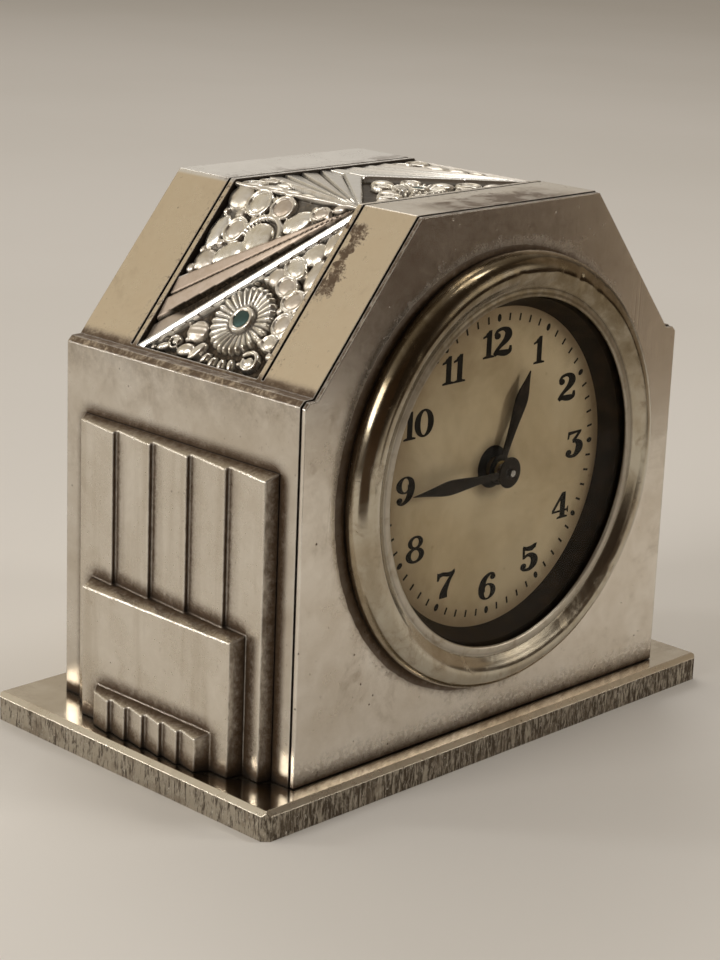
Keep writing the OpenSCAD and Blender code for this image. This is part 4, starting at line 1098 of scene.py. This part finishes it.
def join(name, obs):
    """One object out of several of the same material."""
    bm = bmesh.new()
    for o in obs:
        bm.from_mesh(o.data)
    ob = new_mesh(name, [], [], obs[0].data.materials[0])
    bm.to_mesh(ob.data)
    bm.free()
    for o in obs:
        bpy.data.objects.remove(o)
    return ob


def hub(name, r, f0, f1, hole, dome=0.0):
    """Round boss on the dial's axis from f0 to f1 in front of the case face, with softened edges."""
    c = min(0.14, (f1 - f0) * 0.3)
    prof = [(hole, f0), (hole, f1 + dome * 0.9), (r * 0.55, f1 + dome), (r * 0.82, f1 + dome * 0.4), (r - c, f1),
            (r - c * 0.3, f1 - c * 0.3), (r, f1 - c), (r, f0 + c), (r - c, f0)]
    ob = revolve(name, prof, M["hand_black"], 56)
    fix_normals(ob)
    return ob


def lean(ob, angle, degrees_back):
    """Tilt a hand back about the hub so that its tip comes nearer to the dial."""
    a = math.radians(angle)
    t = math.tan(math.radians(degrees_back))
    for v in ob.data.vertices:
        s = (v.co.x / MM) * math.sin(a) + (v.co.z / MM - ZD) * math.cos(a)
        v.co.y += max(0.0, s) * t * MM


h_lo, h_hi = box_mm("hour_hand")
HOUR_A, MINUTE_A = 22.0, 269.0            # clockwise from 12
hf = YF - (h_lo[1] + h_hi[1]) / 2
b1 = blade("b1", HOUR_A, [(2.8, 1.0), (6.0, 1.12), (9.5, 1.4), (12.8, 1.85), (15.4, 2.15), (17.4, 1.9), (19.4, 1.15),
                          (21.2, 0.48), (22.5, 0.06)], YF - hf)
b2 = hub("b2", 3.35, hf - 0.2, hf + 0.2, 2.15)
hour_hand = join("hour_hand_lance", [b1, b2])
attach(hour_hand, "hour")
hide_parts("hour_hand")

b1 = blade("b1", MINUTE_A, [(2.4, 0.85), (6.0, 0.82), (10.0, 1.02), (14.0, 1.4), (17.5, 1.66), (20.0, 1.5),
                            (23.0, 0.98), (26.2, 0.45), (28.9, 0.05)], YF - 2.9)
lean(b1, MINUTE_A, 2.75)
b2 = hub("b2", 3.45, 2.62, 3.05, 0.8, dome=0.1)
b3 = hub("b3", 1.95, 1.62, 2.7, 1.5)
minute_hand = join("minute_hand_lance", [b1, b2, b3])
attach(minute_hand, "centre")
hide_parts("minute_hand")


# ---------------------------------------------------------------- stage: floor, lights, world, camera
def card(name, corners, mat):
    """A flat four-cornered stage piece."""
    ob = new_mesh(name, corners, [(0, 1, 2, 3)], mat, smooth=False)
    return ob


t = Mat("floor_cloth")
weave, big = t.noise(1500, 3, 0.6), t.noise(3, 4, 0.5)
col = t.mix(t.step(big, 0.3, 0.7), (0.80, 0.775, 0.745), (0.77, 0.745, 0.71))
HALF = 7.0                                # m, half the floor's side
card("floor", [(-HALF, -HALF, 0), (HALF, -HALF, 0), (HALF, HALF, 0), (-HALF, HALF, 0)],
     t.finish(col, 0.85, 0.0, t.bump(weave, 0.1, 0.2 * MM)))

for name, loc, size, size_y, power, color in (
        ("back_window", (0.7, 1.0, 1.35), 0.8, 0.6, 4.2, (1.0, 0.975, 0.94)),
        ("left_soft", (-1.2, 0.1, 0.8), 0.6, 0.5, 6.5, (1.0, 0.965, 0.91)),
        ("edge_light", (-0.95, 1.0, 0.52), 0.2, 0.3, 2.6, (1.0, 0.98, 0.95)),
        ("top_strip", (0.3, -0.25, 1.05), 0.16, 0.3, 1.5, (1.0, 0.97, 0.92)),
        ("dial_fill", (0.75, -0.95, 0.42), 0.24, 0.3, 2.9, (1.0, 0.95, 0.86))):
    light = bpy.data.lights.new(name, "AREA")
    light.shape = "RECTANGLE"
    light.size, light.size_y, light.energy, light.color = size, size_y, power, color
    ob = bpy.data.objects.new(name, light)
    bpy.context.scene.collection.objects.link(ob)
    ob.location = loc
    ob.rotation_euler = (Vector((0, 0, 0.06)) - Vector(loc)).to_track_quat("-Z", "Y").to_euler()


def flag(name, centre, width, height, shade, fade):
    """A dark card that only shows in the metal's reflections, so the polished front keeps its depth."""
    c = Vector(centre)
    n = Vector((-c.x, -0.04 - c.y, 0)).normalized()
    u = Vector((-n.y, n.x, 0)) * width / 2
    up = Vector((0, 0, height))
    t = Mat(name)
    col = t.mix(t.noise(9, 3), shade, tint(shade, 1.6, 1.5, 1.4))
    col = t.mix(t.step(t.xyz()[0], *fade), col, (0.4, 0.34, 0.275))
    ob = card(name, [c - u, c + u, c + u + up, c - u + up], t.finish(col, 0.9, 0.0))
    ob.visible_camera = ob.visible_diffuse = ob.visible_shadow = ob.visible_transmission = False


flag("dark_card", (0.225, -0.225, 0.001), 0.42, 0.34, (0.036, 0.02, 0.009), (0.234, 0.256))
flag("left_card", (-0.165, -0.19, 0.001), 0.23, 0.28, (0.06, 0.036, 0.018), (0.5, 0.6))

# the room: dark in front and below, light behind and above
world = bpy.data.worlds.new("studio")
bpy.context.scene.world = world
world.use_nodes = True
tree = world.node_tree
tree.nodes.clear()
coord, along, fac, ramp, back, out = (tree.nodes.new("ShaderNode" + kind) for kind in (
    "TexCoord", "VectorMath", "MapRange", "ValToRGB", "Background", "OutputWorld"))
along.operation = "DOT_PRODUCT"
along.inputs[1].default_value = Vector((0.0, 0.9, 0.43)).normalized()
for source, target in ((coord.outputs["Generated"], along.inputs[0]), (along.outputs["Value"], fac.inputs["Value"]),
                       (fac.outputs[0], ramp.inputs["Fac"]), (ramp.outputs[0], back.inputs["Color"]),
                       (back.outputs[0], out.inputs["Surface"])):
    tree.links.new(source, target)
fac.inputs["From Min"].default_value = -1
back.inputs["Strength"].default_value = 0.75
stops = ((0.1, (0.045, 0.03, 0.02)), (0.5, (0.10, 0.072, 0.048)), (0.68, (0.38, 0.325, 0.26)),
         (0.85, (0.72, 0.665, 0.585)), (1.0, (0.78, 0.69, 0.54)))
els = ramp.color_ramp.elements
for p, _ in stops[1:-1]:
    els.new(p)
for e, (p, c) in zip(els, stops):
    e.position, e.color = p, (*c, 1)

# the camera, solved from the photo
cam_data = bpy.data.cameras.new("camera")
cam = bpy.data.objects.new("camera", cam_data)
bpy.context.scene.collection.objects.link(cam)
cam_data.sensor_width = 36
cam_data.lens = 88.711
cam_data.clip_start, cam_data.clip_end = 0.01, 20
right_v = Vector((0.69922568, -0.71387425, 0.03830146))
down_v = Vector((-0.17426018, -0.22215435, -0.95931269))
fwd_v = Vector((0.69333746, 0.66410165, -0.27973588))
rot = Matrix((right_v, -down_v, -fwd_v)).transposed()
cam.matrix_world = Matrix.Translation(Vector((-0.3767147, -0.3578358, 0.2045266))) @ rot.to_4x4()
bpy.context.scene.camera = cam

bpy.context.scene.view_settings.view_transform = "Standard"
bpy.context.scene.view_settings.look = "None"
bpy.context.scene.view_settings.exposure = 0.0
